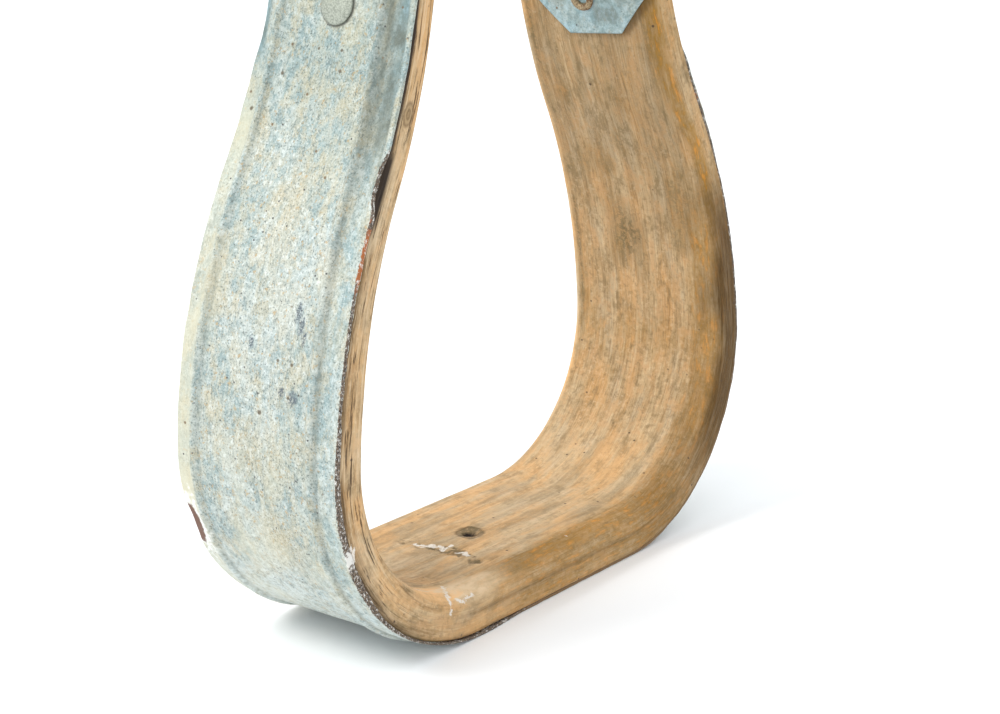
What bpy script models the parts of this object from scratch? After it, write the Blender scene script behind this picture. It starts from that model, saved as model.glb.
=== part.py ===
"""A western riding stirrup: a steam-bent hardwood bow bound with a galvanized sheet band.

Frame: metres, +Z up. The origin is under the middle of the sole, on the ground.
+X runs from leg to leg. -Y is the front edge of the strap and +Y is its back edge.
The bow is a strap that follows one outline in the XZ plane. The outline is the metal's outer
face, and everything else on the strap is placed by its distance along that face, measured
from the middle of the sole, and by its depth under it.
"""

import math

import bmesh
import bpy
from mathutils import Matrix, Vector

# Driving dimensions of the strap, in metres. It is widest and thickest at the tread.
TREAD_WIDTH = 0.04445
NECK_WIDTH = 0.0394
NARROWING_START = 0.092
NARROWING_END = 0.228
TREAD_THICKNESS = 0.0111
NECK_THICKNESS = 0.0072
SHEET = 0.00095
GAP = 0.0003

# The outline of the metal's outer face: half the flat sole, then arcs up to the upright neck.
SOLE_HALF_FLAT = 0.0284
CORNER_RADIUS = 0.0460
FLANK_RADIUS = 0.1340
SHOULDER_RADIUS = 0.1410
NECK_RADIUS = 0.0900
UPRIGHT = math.radians(90)
CORNER_LEAN = math.radians(3.9)
FLANK_LEAN = math.radians(28.7)
SHOULDER_LEAN = math.radians(13.0)
TOP_HEIGHT = 0.1910

# The wood's edges.
FRONT_EDGE_RADIUS = 0.0040
BACK_EDGE_RADIUS = 0.0020
OUTER_EDGE_CHAMFER = 0.0007

# The beads pressed into the band along both edges.
BEAD_HALF_WIDTH = 0.0017
BEAD_HEIGHT = 0.0007
FRONT_BEAD_INSET = 0.0072
BACK_BEAD_INSET = 0.0042
BEAD_FADE = 0.012

# The end of the band that is folded over each leg and down its inner side.
TAB_END = 0.1842
TAB_HALF_WIDTH = 0.0160
TAB_CORNER = 0.0083
TAB_SHIFT = -0.0022
FOLD_STEPS = 8

# Rivets, one through each leg.
LEFT_RIVET_AT = 0.1975
RIGHT_RIVET_AT = 0.1925
RIVET_HEAD_RADIUS = 0.0043
RIVET_HEAD_HEIGHT = 0.0013
RIVET_SHANK_RADIUS = 0.0022
RIVET_CLINCH_RADIUS = 0.0033
RIVET_CLINCH_HEIGHT = 0.0011
RIVET_BORE_RADIUS = 0.0014
RIVET_BORE_END = 0.0030

# The nail up through the sole.
NAIL_X = -0.0042
NAIL_Y = 0.0010
NAIL_HEAD_RADIUS = 0.0030
NAIL_HEAD_HEIGHT = 0.0014
NAIL_SHANK_RADIUS = 0.0011
NAIL_LENGTH = 0.0108

# The cross bolt with its nut and washer, and the roller on it.
BOLT_HEIGHT = 0.1710
BOLT_RADIUS = 0.00395
BOLT_HEAD_RADIUS = 0.0085
BOLT_HEAD_HEIGHT = 0.0042
SLOT_WIDTH = 0.0014
SLOT_DEPTH = 0.0016
WASHER_RADIUS = 0.0095
WASHER_THICKNESS = 0.0015
NUT_ACROSS_FLATS = 0.0143
NUT_THICKNESS = 0.0065
NUT_EDGE_BEVEL = 0.0005
BOLT_END_PROUD = 0.0022
ROLLER_RADIUS = 0.0095
ROLLER_WAIST = 0.0005
ROLLER_EDGE = 0.0012
ROLLER_END_PLAY = 0.0006
BORE_CLEARANCE = 0.0003

ROUND_STEPS = 24
WOOD_DEPTH = SHEET + GAP

# Each stretch of the outline: its radius (None where it is straight), its turn and its facets.
OUTLINE = (
    (None, SOLE_HALF_FLAT, 1),
    (CORNER_RADIUS, UPRIGHT + CORNER_LEAN, 10),
    (FLANK_RADIUS, FLANK_LEAN - CORNER_LEAN, 5),
    (SHOULDER_RADIUS, SHOULDER_LEAN - FLANK_LEAN, 6),
    (NECK_RADIUS, -SHOULDER_LEAN, 3),
)


def clear_scene():
    for thing in list(bpy.data.objects):
        bpy.data.objects.remove(thing, do_unlink=True)


def smoothstep(low, high, value):
    t = min(max((value - low) / (high - low), 0.0), 1.0)
    return t * t * (3 - 2 * t)


def stretch_length(radius, size):
    return size if radius is None else radius * abs(size)


def step_along(x, z, heading, radius, size, share):
    """Where the outline is after a share of one stretch: x, z and the heading from +X."""
    if radius is None:
        run = size * share
        return x + run * math.cos(heading), z + run * math.sin(heading), heading
    side = math.copysign(1.0, size)
    turned = heading + size * share
    end_x = x + side * radius * (math.sin(turned) - math.sin(heading))
    end_z = z - side * radius * (math.cos(turned) - math.cos(heading))
    return end_x, end_z, turned


def outline_at(distance):
    """The right half's outer face at this distance from the middle of the sole: x, z and heading."""
    x, z, heading = 0.0, 0.0, 0.0
    left = distance
    for radius, size, _ in OUTLINE:
        length = stretch_length(radius, size)
        if left <= length:
            return step_along(x, z, heading, radius, size, left / length)
        x, z, heading = step_along(x, z, heading, radius, size, 1.0)
        left -= length
    return x, z + left, heading


def facet_distances():
    """The distances of the outline's facet ends, from the middle of the sole to the neck."""
    found = [0.0]
    for radius, size, facets in OUTLINE:
        start = found[-1]
        length = stretch_length(radius, size)
        found += [start + length * (i + 1) / facets for i in range(facets)]
    return found


CURVE_DISTANCES = facet_distances()
NECK_START = CURVE_DISTANCES[-1]
NECK_X, NECK_START_HEIGHT, _ = outline_at(NECK_START)
FOLD_RADIUS = (NECK_THICKNESS + GAP + SHEET) / 2
FOLD_START = NECK_START + TOP_HEIGHT - FOLD_RADIUS - NECK_START_HEIGHT
LEG_DISTANCES = CURVE_DISTANCES + [FOLD_START]


def half_width(distance):
    narrowing = smoothstep(NARROWING_START, NARROWING_END, distance)
    return (TREAD_WIDTH + (NECK_WIDTH - TREAD_WIDTH) * narrowing) / 2


def thickness(distance):
    """From the metal's outer face to the wood's inner face. It thins evenly up each leg."""
    share = (distance - SOLE_HALF_FLAT) / (NECK_START - SOLE_HALF_FLAT)
    return TREAD_THICKNESS + (NECK_THICKNESS - TREAD_THICKNESS) * min(max(share, 0.0), 1.0)


def tab_depth(distance):
    """From the outer face to the inner face of the tab that lies on the wood's inner side."""
    return thickness(distance) + GAP + SHEET


def inward(heading):
    """The direction from the metal's outer face into the bow, in the XZ plane."""
    return Vector((-math.sin(heading), 0.0, math.cos(heading)))


def face_point(distance, depth=0.0):
    x, z, heading = outline_at(distance)
    return Vector((x, 0.0, z)) + inward(heading) * depth


def mirrored(ring):
    return [Vector((-point.x, point.y, point.z)) for point in ring]


def across(rings):
    """The rings of the right half, with those of the left half before them."""
    return [mirrored(ring) for ring in reversed(rings[1:])] + rings


def ring_at(origin, into, section):
    """A section's (y, depth) points placed at a point of the outline."""
    return [origin + into * depth + Vector((0.0, y, 0.0)) for y, depth in section]


def material(name, colour, roughness, metallic):
    made = bpy.data.materials.new(name)
    made.use_nodes = True
    shader = made.node_tree.nodes["Principled BSDF"]
    shader.inputs["Base Color"].default_value = (*colour, 1.0)
    shader.inputs["Roughness"].default_value = roughness
    shader.inputs["Metallic"].default_value = metallic
    return made


def finish_mesh(name, mesh, look, smooth=True):
    bmesh.ops.recalc_face_normals(mesh, faces=mesh.faces)
    data = bpy.data.meshes.new(name)
    mesh.to_mesh(data)
    mesh.free()
    if smooth:
        data.shade_smooth()
        data.set_sharp_from_angle(angle=math.radians(32))
    made = bpy.data.objects.new(name, data)
    bpy.context.scene.collection.objects.link(made)
    if look is not None:
        data.materials.append(look)
    return made


def skin(name, rings, look):
    """A closed solid through rings of equal length, with a flat face at each end."""
    mesh = bmesh.new()
    rows = [[mesh.verts.new(point) for point in ring] for ring in rings]
    count = len(rows[0])
    for near, far in zip(rows, rows[1:]):
        for i in range(count):
            j = (i + 1) % count
            mesh.faces.new((near[i], near[j], far[j], far[i]))
    mesh.faces.new(rows[0])
    mesh.faces.new(rows[-1])
    return finish_mesh(name, mesh, look)


def lathe(name, profile, look, closed=False, steps=ROUND_STEPS):
    """A solid turned about its own Z. A closed profile makes a ring, an open one ends on the axis."""
    mesh = bmesh.new()
    rows = []
    for radius, height in profile:
        if radius == 0.0:
            rows.append([mesh.verts.new((0.0, 0.0, height))] * steps)
            continue
        row = []
        for i in range(steps):
            angle = 2 * math.pi * i / steps
            row.append(mesh.verts.new((radius * math.cos(angle), radius * math.sin(angle), height)))
        rows.append(row)
    pairs = list(zip(rows, rows[1:]))
    if closed:
        pairs.append((rows[-1], rows[0]))
    for near, far in pairs:
        for i in range(steps):
            j = (i + 1) % steps
            corners = (near[i], near[j], far[j], far[i])
            mesh.faces.new(list(dict.fromkeys(corners)))
    return finish_mesh(name, mesh, look)


def point_along(thing, origin, direction):
    """Puts a turned piece at a point with its own +Z along a direction."""
    turn = Vector(direction).to_track_quat("Z", "Y").to_matrix().to_4x4()
    thing.matrix_world = Matrix.Translation(origin) @ turn
    return thing


def rod_cutter(name, radius, low, high):
    cutter = lathe(name, ((0.0, low), (radius, low), (radius, high), (0.0, high)), None)
    hide_cutter(cutter)
    return cutter


def hide_cutter(cutter):
    cutter.hide_render = True
    cutter.display_type = "WIRE"


def cut(thing, cutters):
    for cutter in cutters:
        modifier = thing.modifiers.new(cutter.name, "BOOLEAN")
        modifier.operation = "DIFFERENCE"
        modifier.object = cutter


def wood_edge(width, depth, radius):
    """(y, depth) up one side of the wood, from its chamfered outer edge to its rounded inner edge."""
    points = [(width - OUTER_EDGE_CHAMFER, WOOD_DEPTH), (width, WOOD_DEPTH + OUTER_EDGE_CHAMFER)]
    for angle in (0, 30, 60, 90):
        turn = math.radians(angle)
        y = width - radius + radius * math.cos(turn)
        points.append((y, depth - radius + radius * math.sin(turn)))
    return points


def wood_section(distance, thinning=1.0):
    """(y, depth) round the wood. Thinning flattens it about its middle."""
    width, depth = half_width(distance), thickness(distance)
    middle = (WOOD_DEPTH + depth) / 2
    back = wood_edge(width, depth, BACK_EDGE_RADIUS)
    front = wood_edge(width, depth, FRONT_EDGE_RADIUS)
    points = back + [(-y, z) for y, z in reversed(front)]
    return [(y, middle + (z - middle) * thinning) for y, z in points]


def wood_bow(look):
    rings = []
    for distance in LEG_DISTANCES:
        x, z, heading = outline_at(distance)
        rings.append(ring_at(Vector((x, 0.0, z)), inward(heading), wood_section(distance)))
    top_radius = (NECK_THICKNESS - WOOD_DEPTH) / 2
    for angle in (25, 50, 75):
        turn = math.radians(angle)
        origin = face_point(FOLD_START) + Vector((0.0, 0.0, top_radius * math.sin(turn)))
        section = wood_section(FOLD_START, math.cos(turn))
        rings.append(ring_at(origin, Vector((-1.0, 0.0, 0.0)), section))
    return skin("wood_bow", across(rings), look)


def bead_bumps(distance, lift):
    """(y, rise) across the band's outer face: flat with a raised bead near each edge."""
    width = half_width(distance)
    points = [(-width, 0.0)]
    for centre in (-width + FRONT_BEAD_INSET, width - BACK_BEAD_INSET):
        for share in (-1.0, -0.5, 0.0, 0.5, 1.0):
            rise = BEAD_HEIGHT * lift * (0.5 + 0.5 * math.cos(math.pi * share))
            points.append((centre + share * BEAD_HALF_WIDTH, rise))
    points.append((width, 0.0))
    return points


def band_section(distance, lift):
    outer = bead_bumps(distance, lift)
    under = [(y, SHEET - rise) for y, rise in reversed(outer)]
    return [(y, -rise) for y, rise in outer] + under


def narrowed(section, width, shift):
    """The same section, pulled in to a smaller half width and moved sideways."""
    full = max(y for y, _ in section)
    return [(y * width / full + shift, depth) for y, depth in section]


def outer_band_rings():
    """The beads are worn flat under the sole and run out before the fold over the leg's top."""
    rings = []
    for distance in LEG_DISTANCES:
        x, z, heading = outline_at(distance)
        lift = smoothstep(SOLE_HALF_FLAT, SOLE_HALF_FLAT + BEAD_FADE, distance)
        lift *= 1 - smoothstep(NECK_START - BEAD_FADE, NECK_START, distance)
        rings.append(ring_at(Vector((x, 0.0, z)), inward(heading), band_section(distance, lift)))
    return rings


def fold_rings():
    centre = face_point(FOLD_START, FOLD_RADIUS)
    section = band_section(FOLD_START, 0.0)
    full = half_width(FOLD_START)
    rings = []
    for i in range(1, FOLD_STEPS + 1):
        turn = math.pi * i / FOLD_STEPS
        outward = Vector((math.cos(turn), 0.0, math.sin(turn)))
        share = smoothstep(0.0, 1.0, i / FOLD_STEPS)
        width = full + (TAB_HALF_WIDTH - full) * share
        narrow = narrowed(section, width, TAB_SHIFT * share)
        rings.append(ring_at(centre + outward * FOLD_RADIUS, -outward, narrow))
    return rings


def tab_rings():
    """Down the leg's inner side to the tab's end, with its two lower corners cut off."""
    corner = TAB_END + TAB_CORNER
    distances = [d for d in reversed(CURVE_DISTANCES) if d > corner + 0.001] + [corner, TAB_END]
    rings = []
    for distance in distances:
        x, z, heading = outline_at(distance)
        into = inward(heading)
        width = TAB_HALF_WIDTH - max(corner - distance, 0.0)
        origin = Vector((x, 0.0, z)) + into * tab_depth(distance)
        section = narrowed(band_section(distance, 0.0), width, TAB_SHIFT)
        rings.append(ring_at(origin, -into, section))
    return rings


def galvanized_band(look):
    return skin("galvanized_band", across(outer_band_rings() + fold_rings() + tab_rings()), look)


def rivet_profile(depth):
    """From the crown of the head, down the shank and round the rolled end into its bore."""
    crown = GAP + RIVET_HEAD_HEIGHT
    rim = GAP + 0.35 * RIVET_HEAD_HEIGHT
    profile = [(0.0, crown)]
    for share in (0.35, 0.65, 0.88):
        profile.append((RIVET_HEAD_RADIUS * share, rim + (crown - rim) * math.sqrt(1 - share * share)))
    profile += [(RIVET_HEAD_RADIUS, rim), (RIVET_HEAD_RADIUS, GAP), (RIVET_SHANK_RADIUS, GAP)]
    seat = -(depth + GAP)
    profile += [(RIVET_SHANK_RADIUS, seat), (RIVET_CLINCH_RADIUS - 0.0002, seat)]
    roll = (RIVET_CLINCH_RADIUS - RIVET_BORE_RADIUS) / 2
    for angle in (20, 55, 90, 125, 160):
        turn = math.radians(angle)
        radius = RIVET_BORE_RADIUS + roll + roll * math.cos(turn)
        profile.append((radius, seat - RIVET_CLINCH_HEIGHT * math.sin(turn)))
    profile += [(RIVET_BORE_RADIUS, seat), (RIVET_BORE_RADIUS, -RIVET_BORE_END - 0.0008)]
    profile.append((0.0, -RIVET_BORE_END))
    return profile


def rivet_place(distance, side):
    """The point on the outer face and the direction out of it, for one leg."""
    x, z, heading = outline_at(distance)
    outward = -inward(heading)
    return Vector((side * x, 0.0, z)), Vector((side * outward.x, 0.0, outward.z))


def rivet(name, distance, side, look):
    origin, outward = rivet_place(distance, side)
    turned = lathe(name, rivet_profile(tab_depth(distance)), look)
    return point_along(turned, origin, outward)


def rivet_cutter(name, distance, side):
    origin, outward = rivet_place(distance, side)
    reach = 2 * TREAD_THICKNESS
    cutter = rod_cutter(name, RIVET_SHANK_RADIUS + GAP, -reach, reach)
    return point_along(cutter, origin, outward)


def sole_nail(look):
    """A countersunk nail whose point ends just under the tread's surface."""
    profile = (
        (0.0, 0.0),
        (NAIL_HEAD_RADIUS, 0.0),
        (NAIL_SHANK_RADIUS, NAIL_HEAD_HEIGHT),
        (NAIL_SHANK_RADIUS, NAIL_LENGTH - 0.0025),
        (0.0, NAIL_LENGTH),
    )
    nail = lathe("sole_nail", profile, look, steps=16)
    nail.location = (NAIL_X, NAIL_Y, 0.0)
    return nail


def nail_cutter():
    """The nail's own shape, larger by the gap all round, and on up through the wood."""
    below = 0.001
    slope = (NAIL_HEAD_RADIUS - NAIL_SHANK_RADIUS) / NAIL_HEAD_HEIGHT
    mouth = NAIL_HEAD_RADIUS + GAP + slope * below
    neck = NAIL_SHANK_RADIUS + GAP
    top = TREAD_THICKNESS + below
    profile = ((0.0, -below), (mouth, -below), (neck, NAIL_HEAD_HEIGHT), (neck, top), (0.0, top))
    cutter = lathe("cut_nail", profile, None, steps=16)
    cutter.location = (NAIL_X, NAIL_Y, 0.0)
    hide_cutter(cutter)
    return cutter


def cross_bolt(look):
    """A round-headed bolt with a screwdriver slot, its head outside the left leg."""
    seat = NECK_X + GAP
    end = seat + WASHER_THICKNESS + GAP + NUT_THICKNESS + BOLT_END_PROUD
    crown = seat + BOLT_HEAD_HEIGHT
    rim = seat + 0.25 * BOLT_HEAD_HEIGHT
    profile = [(0.0, crown)]
    for share in (0.3, 0.55, 0.75, 0.9):
        profile.append((BOLT_HEAD_RADIUS * share, rim + (crown - rim) * math.sqrt(1 - share * share)))
    profile += [(BOLT_HEAD_RADIUS, rim), (BOLT_HEAD_RADIUS, seat), (BOLT_RADIUS, seat)]
    chamfer = 0.0008
    profile += [(BOLT_RADIUS, chamfer - end), (BOLT_RADIUS - chamfer, -end), (0.0, -end)]
    bolt = lathe("cross_bolt", profile, look)
    point_along(bolt, (0.0, 0.0, BOLT_HEIGHT), (-1.0, 0.0, 0.0))
    cut(bolt, [slot_cutter(crown)])
    return bolt


def slot_cutter(crown):
    mesh = bmesh.new()
    bmesh.ops.create_cube(mesh, size=1.0)
    size = Vector((2 * SLOT_DEPTH, 3 * BOLT_HEAD_RADIUS, SLOT_WIDTH))
    bmesh.ops.scale(mesh, vec=size, verts=mesh.verts)
    cutter = finish_mesh("cut_slot", mesh, None, smooth=False)
    cutter.location = (-crown, 0.0, BOLT_HEIGHT)
    hide_cutter(cutter)
    return cutter


def bolt_cutter():
    reach = NECK_X + NECK_THICKNESS
    cutter = rod_cutter("cut_bolt", BOLT_RADIUS + GAP, -reach, reach)
    return point_along(cutter, (0.0, 0.0, BOLT_HEIGHT), (1.0, 0.0, 0.0))


def nut_washer(look):
    low = NECK_X + GAP
    high = low + WASHER_THICKNESS
    bore = BOLT_RADIUS + GAP
    profile = ((bore, low), (WASHER_RADIUS, low), (WASHER_RADIUS, high), (bore, high))
    washer = lathe("nut_washer", profile, look, closed=True)
    return point_along(washer, (0.0, 0.0, BOLT_HEIGHT), (1.0, 0.0, 0.0))


def bolt_nut(look):
    """A square nut, its edges bevelled, outside the right leg."""
    low = NECK_X + GAP + WASHER_THICKNESS + GAP
    mesh = bmesh.new()
    bmesh.ops.create_cube(mesh, size=1.0)
    size = Vector((NUT_THICKNESS, NUT_ACROSS_FLATS, NUT_ACROSS_FLATS))
    bmesh.ops.scale(mesh, vec=size, verts=mesh.verts)
    nut = finish_mesh("bolt_nut", mesh, look, smooth=False)
    nut.location = (low + NUT_THICKNESS / 2, 0.0, BOLT_HEIGHT)
    bevel = nut.modifiers.new("edges", "BEVEL")
    bevel.width = NUT_EDGE_BEVEL
    bevel.segments = 1
    hole = rod_cutter("cut_nut", BOLT_RADIUS + GAP, low - 0.002, low + NUT_THICKNESS + 0.002)
    point_along(hole, (0.0, 0.0, BOLT_HEIGHT), (1.0, 0.0, 0.0))
    cut(nut, [hole])
    return nut


def roller(look):
    """A turned wooden roller, a little waisted, that spins on the bolt between the two tabs."""
    half = NECK_X - tab_depth(NECK_START) - ROLLER_END_PLAY
    bore = BOLT_RADIUS + BORE_CLEARANCE
    profile = [(bore, -half), (ROLLER_RADIUS - ROLLER_EDGE, -half)]
    shoulder = half - ROLLER_EDGE
    for share in (-1.0, -0.6, -0.2, 0.2, 0.6, 1.0):
        profile.append((ROLLER_RADIUS - ROLLER_WAIST * (1 - share * share), shoulder * share))
    profile += [(ROLLER_RADIUS - ROLLER_EDGE, half), (bore, half)]
    turned = lathe("roller", profile, look, closed=True)
    return point_along(turned, (0.0, 0.0, BOLT_HEIGHT), (1.0, 0.0, 0.0))


def build():
    clear_scene()
    wood = wood_bow(material("bow_wood", (0.52, 0.36, 0.20), 0.70, 0.0))
    band = galvanized_band(material("band_zinc", (0.55, 0.62, 0.63), 0.50, 0.85))
    pale_steel = material("left_rivet_steel", (0.50, 0.50, 0.44), 0.50, 0.80)
    brown_steel = material("right_rivet_steel", (0.42, 0.34, 0.22), 0.50, 0.80)
    rivet("left_rivet", LEFT_RIVET_AT, -1, pale_steel)
    rivet("right_rivet", RIGHT_RIVET_AT, 1, brown_steel)
    sole_nail(material("nail_steel", (0.22, 0.18, 0.15), 0.60, 0.70))
    cross_bolt(material("bolt_steel", (0.33, 0.31, 0.29), 0.45, 0.90))
    nut_washer(material("washer_steel", (0.38, 0.37, 0.35), 0.45, 0.90))
    bolt_nut(material("nut_steel", (0.30, 0.28, 0.26), 0.50, 0.90))
    roller(material("roller_wood", (0.45, 0.30, 0.17), 0.65, 0.0))
    holes = [
        rivet_cutter("cut_left_rivet", LEFT_RIVET_AT, -1),
        rivet_cutter("cut_right_rivet", RIGHT_RIVET_AT, 1),
        bolt_cutter(),
        nail_cutter(),
    ]
    cut(wood, holes)
    cut(band, holes)


build()
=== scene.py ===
# The looks of a bentwood western riding stirrup: a weathered hardwood bow bound with old galvanized
# sheet, standing on its sole, +Z up, in the CAD model's frame. Lengths here are in millimetres, and
# become metres where a mesh, light or camera is made.
#
# The bow is one strap. A place on it has three coordinates: its distance s along the metal's outer face
# from the middle of the sole (negative on the left leg, at -X), its y across the strap (front is -Y),
# and its depth under the outer face. The strap's materials read them from the mesh attribute "place".

import math

import bmesh
import bpy
import numpy as np
from mathutils import Matrix, Vector


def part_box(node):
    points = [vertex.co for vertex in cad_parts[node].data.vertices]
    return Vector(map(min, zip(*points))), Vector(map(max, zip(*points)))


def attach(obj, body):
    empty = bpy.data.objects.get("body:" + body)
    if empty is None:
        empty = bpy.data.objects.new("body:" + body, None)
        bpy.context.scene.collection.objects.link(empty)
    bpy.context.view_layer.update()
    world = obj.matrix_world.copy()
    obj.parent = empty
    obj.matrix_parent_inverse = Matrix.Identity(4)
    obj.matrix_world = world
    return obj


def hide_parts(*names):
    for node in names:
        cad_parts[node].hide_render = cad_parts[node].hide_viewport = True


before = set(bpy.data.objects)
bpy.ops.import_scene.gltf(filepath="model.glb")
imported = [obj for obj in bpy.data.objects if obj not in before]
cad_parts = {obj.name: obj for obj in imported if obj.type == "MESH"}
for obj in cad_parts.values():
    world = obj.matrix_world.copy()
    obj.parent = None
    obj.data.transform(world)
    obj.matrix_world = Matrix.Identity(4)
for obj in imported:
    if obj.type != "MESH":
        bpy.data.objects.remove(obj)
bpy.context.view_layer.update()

MM = 0.001

# The strap's outline and sizes, which repeat the CAD model's.
TREAD_WIDTH = 44.45
NECK_WIDTH = 39.4
NARROWING_START = 92
NARROWING_END = 228
TREAD_THICKNESS = 11.1
NECK_THICKNESS = 7.2
SOLE_HALF_FLAT = 28.4
# The outer face's arcs from the sole's flat up to the neck: the radius, and the turn in degrees.
ARCS = ((46, 93.9), (134, 24.8), (141, -15.7), (90, -13))
NECK_START = SOLE_HALF_FLAT + sum(radius * abs(math.radians(turn)) for radius, turn in ARCS)
TAB_END = 184.2
TAB_CORNER = 8.3
TAB_HALF_WIDTH = 16.0
TAB_SKEW = 0.07
# How far the tab sits off the middle of each leg: 1 is the right leg, at +X, and -1 the left.
TAB_SHIFT = {1: -2.2, -1: -0.8}
LEFT_RIVET_AT = -197.5
RIGHT_RIVET_AT = 192.5
# On the left leg: the notch in the sheet's front edge and its upper end, and the chip in the back one.
NOTCH_AT = -163
NOTCH_TOP = -172
CHIP_AT = -83.5

# The finer sizes of the real sheet and of the wood under it.
SHEET = 0.62
SEAT = 0.04
WOOD_DEPTH = SHEET + SEAT
WOOD_SIDE_INSET = 0.35
LIP_OVERHANG = 0.2


# ---- camera, floor and light

CAMERA_TARGET = Vector((6.4, 0.0, 51.2))
CAMERA_AZIMUTH = math.radians(-51.6)
CAMERA_ELEVATION = math.radians(16.4)
CAMERA_ROLL = math.radians(-0.53)
CAMERA_DISTANCE = 503.9
CAMERA_LENS = 78.7
SKY_STRENGTH = 1.22
KEY_PLACE = Vector((-1500, 900, 2000))
KEY_SIZE = 1100
KEY_POWER = 34
FLOOR_SIZE = 16000


def add_camera():
    azimuth, elevation = CAMERA_AZIMUTH, CAMERA_ELEVATION
    flat = math.cos(elevation)
    back = Vector((math.sin(azimuth) * flat, -math.cos(azimuth) * flat, math.sin(elevation)))
    right = Vector((0, 0, 1)).cross(back).normalized()
    turn = Matrix((right, back.cross(right), back)).transposed()
    data = bpy.data.cameras.new("camera")
    data.lens = CAMERA_LENS
    data.clip_start = 0.01
    camera = bpy.data.objects.new("camera", data)
    bpy.context.scene.collection.objects.link(camera)
    level = Matrix.Translation((CAMERA_TARGET + back * CAMERA_DISTANCE) * MM) @ turn.to_4x4()
    camera.matrix_world = level @ Matrix.Rotation(CAMERA_ROLL, 4, "Z")
    bpy.context.scene.camera = camera


def add_studio():
    """A pale floor under soft white light from all round, and a soft key from behind on the left."""
    bpy.context.scene.view_settings.view_transform = "Standard"
    world = bpy.data.worlds.new("studio")
    world.use_nodes = True
    sky = world.node_tree.nodes["Background"].inputs
    sky["Color"].default_value = (0.975, 0.99, 1.0, 1.0)
    sky["Strength"].default_value = SKY_STRENGTH
    bpy.context.scene.world = world

    data = bpy.data.lights.new("key", "AREA")
    data.shape = "DISK"
    data.size = KEY_SIZE * MM
    data.energy = KEY_POWER
    data.color = (1.0, 0.985, 0.955)
    key = bpy.data.objects.new("key", data)
    bpy.context.scene.collection.objects.link(key)
    key.location = KEY_PLACE * MM
    key.rotation_euler = (CAMERA_TARGET - KEY_PLACE).to_track_quat("-Z", "Y").to_euler()

    bpy.ops.mesh.primitive_plane_add(size=FLOOR_SIZE * MM, location=(0, 0, 0))
    floor = bpy.context.object
    floor.name = "floor"
    paper = bpy.data.materials.new("floor_paper")
    paper.use_nodes = True
    shader = paper.node_tree.nodes["Principled BSDF"]
    shader.inputs["Base Color"].default_value = (0.93, 0.945, 0.96, 1.0)
    shader.inputs["Roughness"].default_value = 0.7
    shader.inputs["Specular IOR Level"].default_value = 0.2
    floor.data.materials.append(paper)


# ---- noise for the meshes

NOISE_CELLS = 64


def ramp(low, high, value):
    """0 below low, 1 above high, and smooth between them."""
    t = np.clip((value - low) / (high - low), 0.0, 1.0)
    return t * t * (3 - 2 * t)


def between(start, full_from, full_to, end, value):
    """1 from full_from to full_to, and falling smoothly to 0 at start and end."""
    return ramp(start, full_from, value) * ramp(end, full_to, value)


def smooth_noise(u, v, seed):
    """Noise from -1 to 1 with features one unit apart."""
    lattice = np.random.default_rng(seed).uniform(-1.0, 1.0, (NOISE_CELLS, NOISE_CELLS))
    u, v = np.broadcast_arrays(u, v)
    cell_u, cell_v = np.floor(u).astype(int), np.floor(v).astype(int)
    share_u, share_v = ramp(0, 1, u - cell_u), ramp(0, 1, v - cell_v)

    def corner(step_u, step_v):
        return lattice[(cell_u + step_u) % NOISE_CELLS, (cell_v + step_v) % NOISE_CELLS]

    near = corner(0, 0) * (1 - share_u) + corner(1, 0) * share_u
    far = corner(0, 1) * (1 - share_u) + corner(1, 1) * share_u
    return near * (1 - share_v) + far * share_v


def layered_noise(u, v, seed, layers=3):
    """Smooth noise with finer and fainter layers on it."""
    total = 0.0
    for layer in range(layers):
        total = total + smooth_noise(u * 2**layer, v * 2**layer, seed + layer) / 2**layer
    return total


def bell(value, width, power=2):
    """1 where the value is 0, falling off smoothly to both sides. A higher power is flatter on top."""
    return np.exp(-((value / width) ** power))


def oval(s, y, centre, radii):
    """A soft oval patch: 1 at its centre."""
    return bell(s - centre[0], radii[0]) * bell(y - centre[1], radii[1])


def highest(*parts):
    """The highest of these at each point."""
    return np.maximum.reduce(np.broadcast_arrays(*parts))


# ---- the strap's shape


def outline(s):
    """x, z and turn of the metal's outer face at each signed distance."""
    far = np.abs(s)
    x, z, turned = np.minimum(far, SOLE_HALF_FLAT), np.zeros_like(far), np.zeros_like(far)
    start, heading = SOLE_HALF_FLAT, 0.0
    for radius, degrees in ARCS:
        side = math.copysign(radius, degrees)
        turn = np.clip((far - start) / side, *sorted((0.0, math.radians(degrees))))
        x += side * (np.sin(heading + turn) - math.sin(heading))
        z -= side * (np.cos(heading + turn) - math.cos(heading))
        turned += turn
        heading += math.radians(degrees)
        start += abs(side * math.radians(degrees))
    z += np.maximum(far - start, 0.0)
    return np.sign(s) * x, z, turned


def half_width(s):
    narrowing = ramp(NARROWING_START, NARROWING_END, np.abs(s))
    return (TREAD_WIDTH + (NECK_WIDTH - TREAD_WIDTH) * narrowing) / 2


def thickness(s):
    share = (np.abs(s) - SOLE_HALF_FLAT) / (NECK_START - SOLE_HALF_FLAT)
    return TREAD_THICKNESS + (NECK_THICKNESS - TREAD_THICKNESS) * np.clip(share, 0.0, 1.0)


def inward(s):
    """The direction into the strap at each distance: its x and z parts."""
    turned = outline(s)[2]
    return -np.where(s < 0, -1.0, 1.0) * np.sin(turned), np.cos(turned)


def stacked(*parts):
    """Points or places from their three coordinates, which broadcast together."""
    return np.stack(np.broadcast_arrays(*parts), axis=-1)


def strap_points(s, y, depth):
    """The points of the strap at these places."""
    x, z, _ = outline(s)
    into_x, into_z = inward(s)
    return stacked(x + into_x * depth, y, z + into_z * depth)


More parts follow.
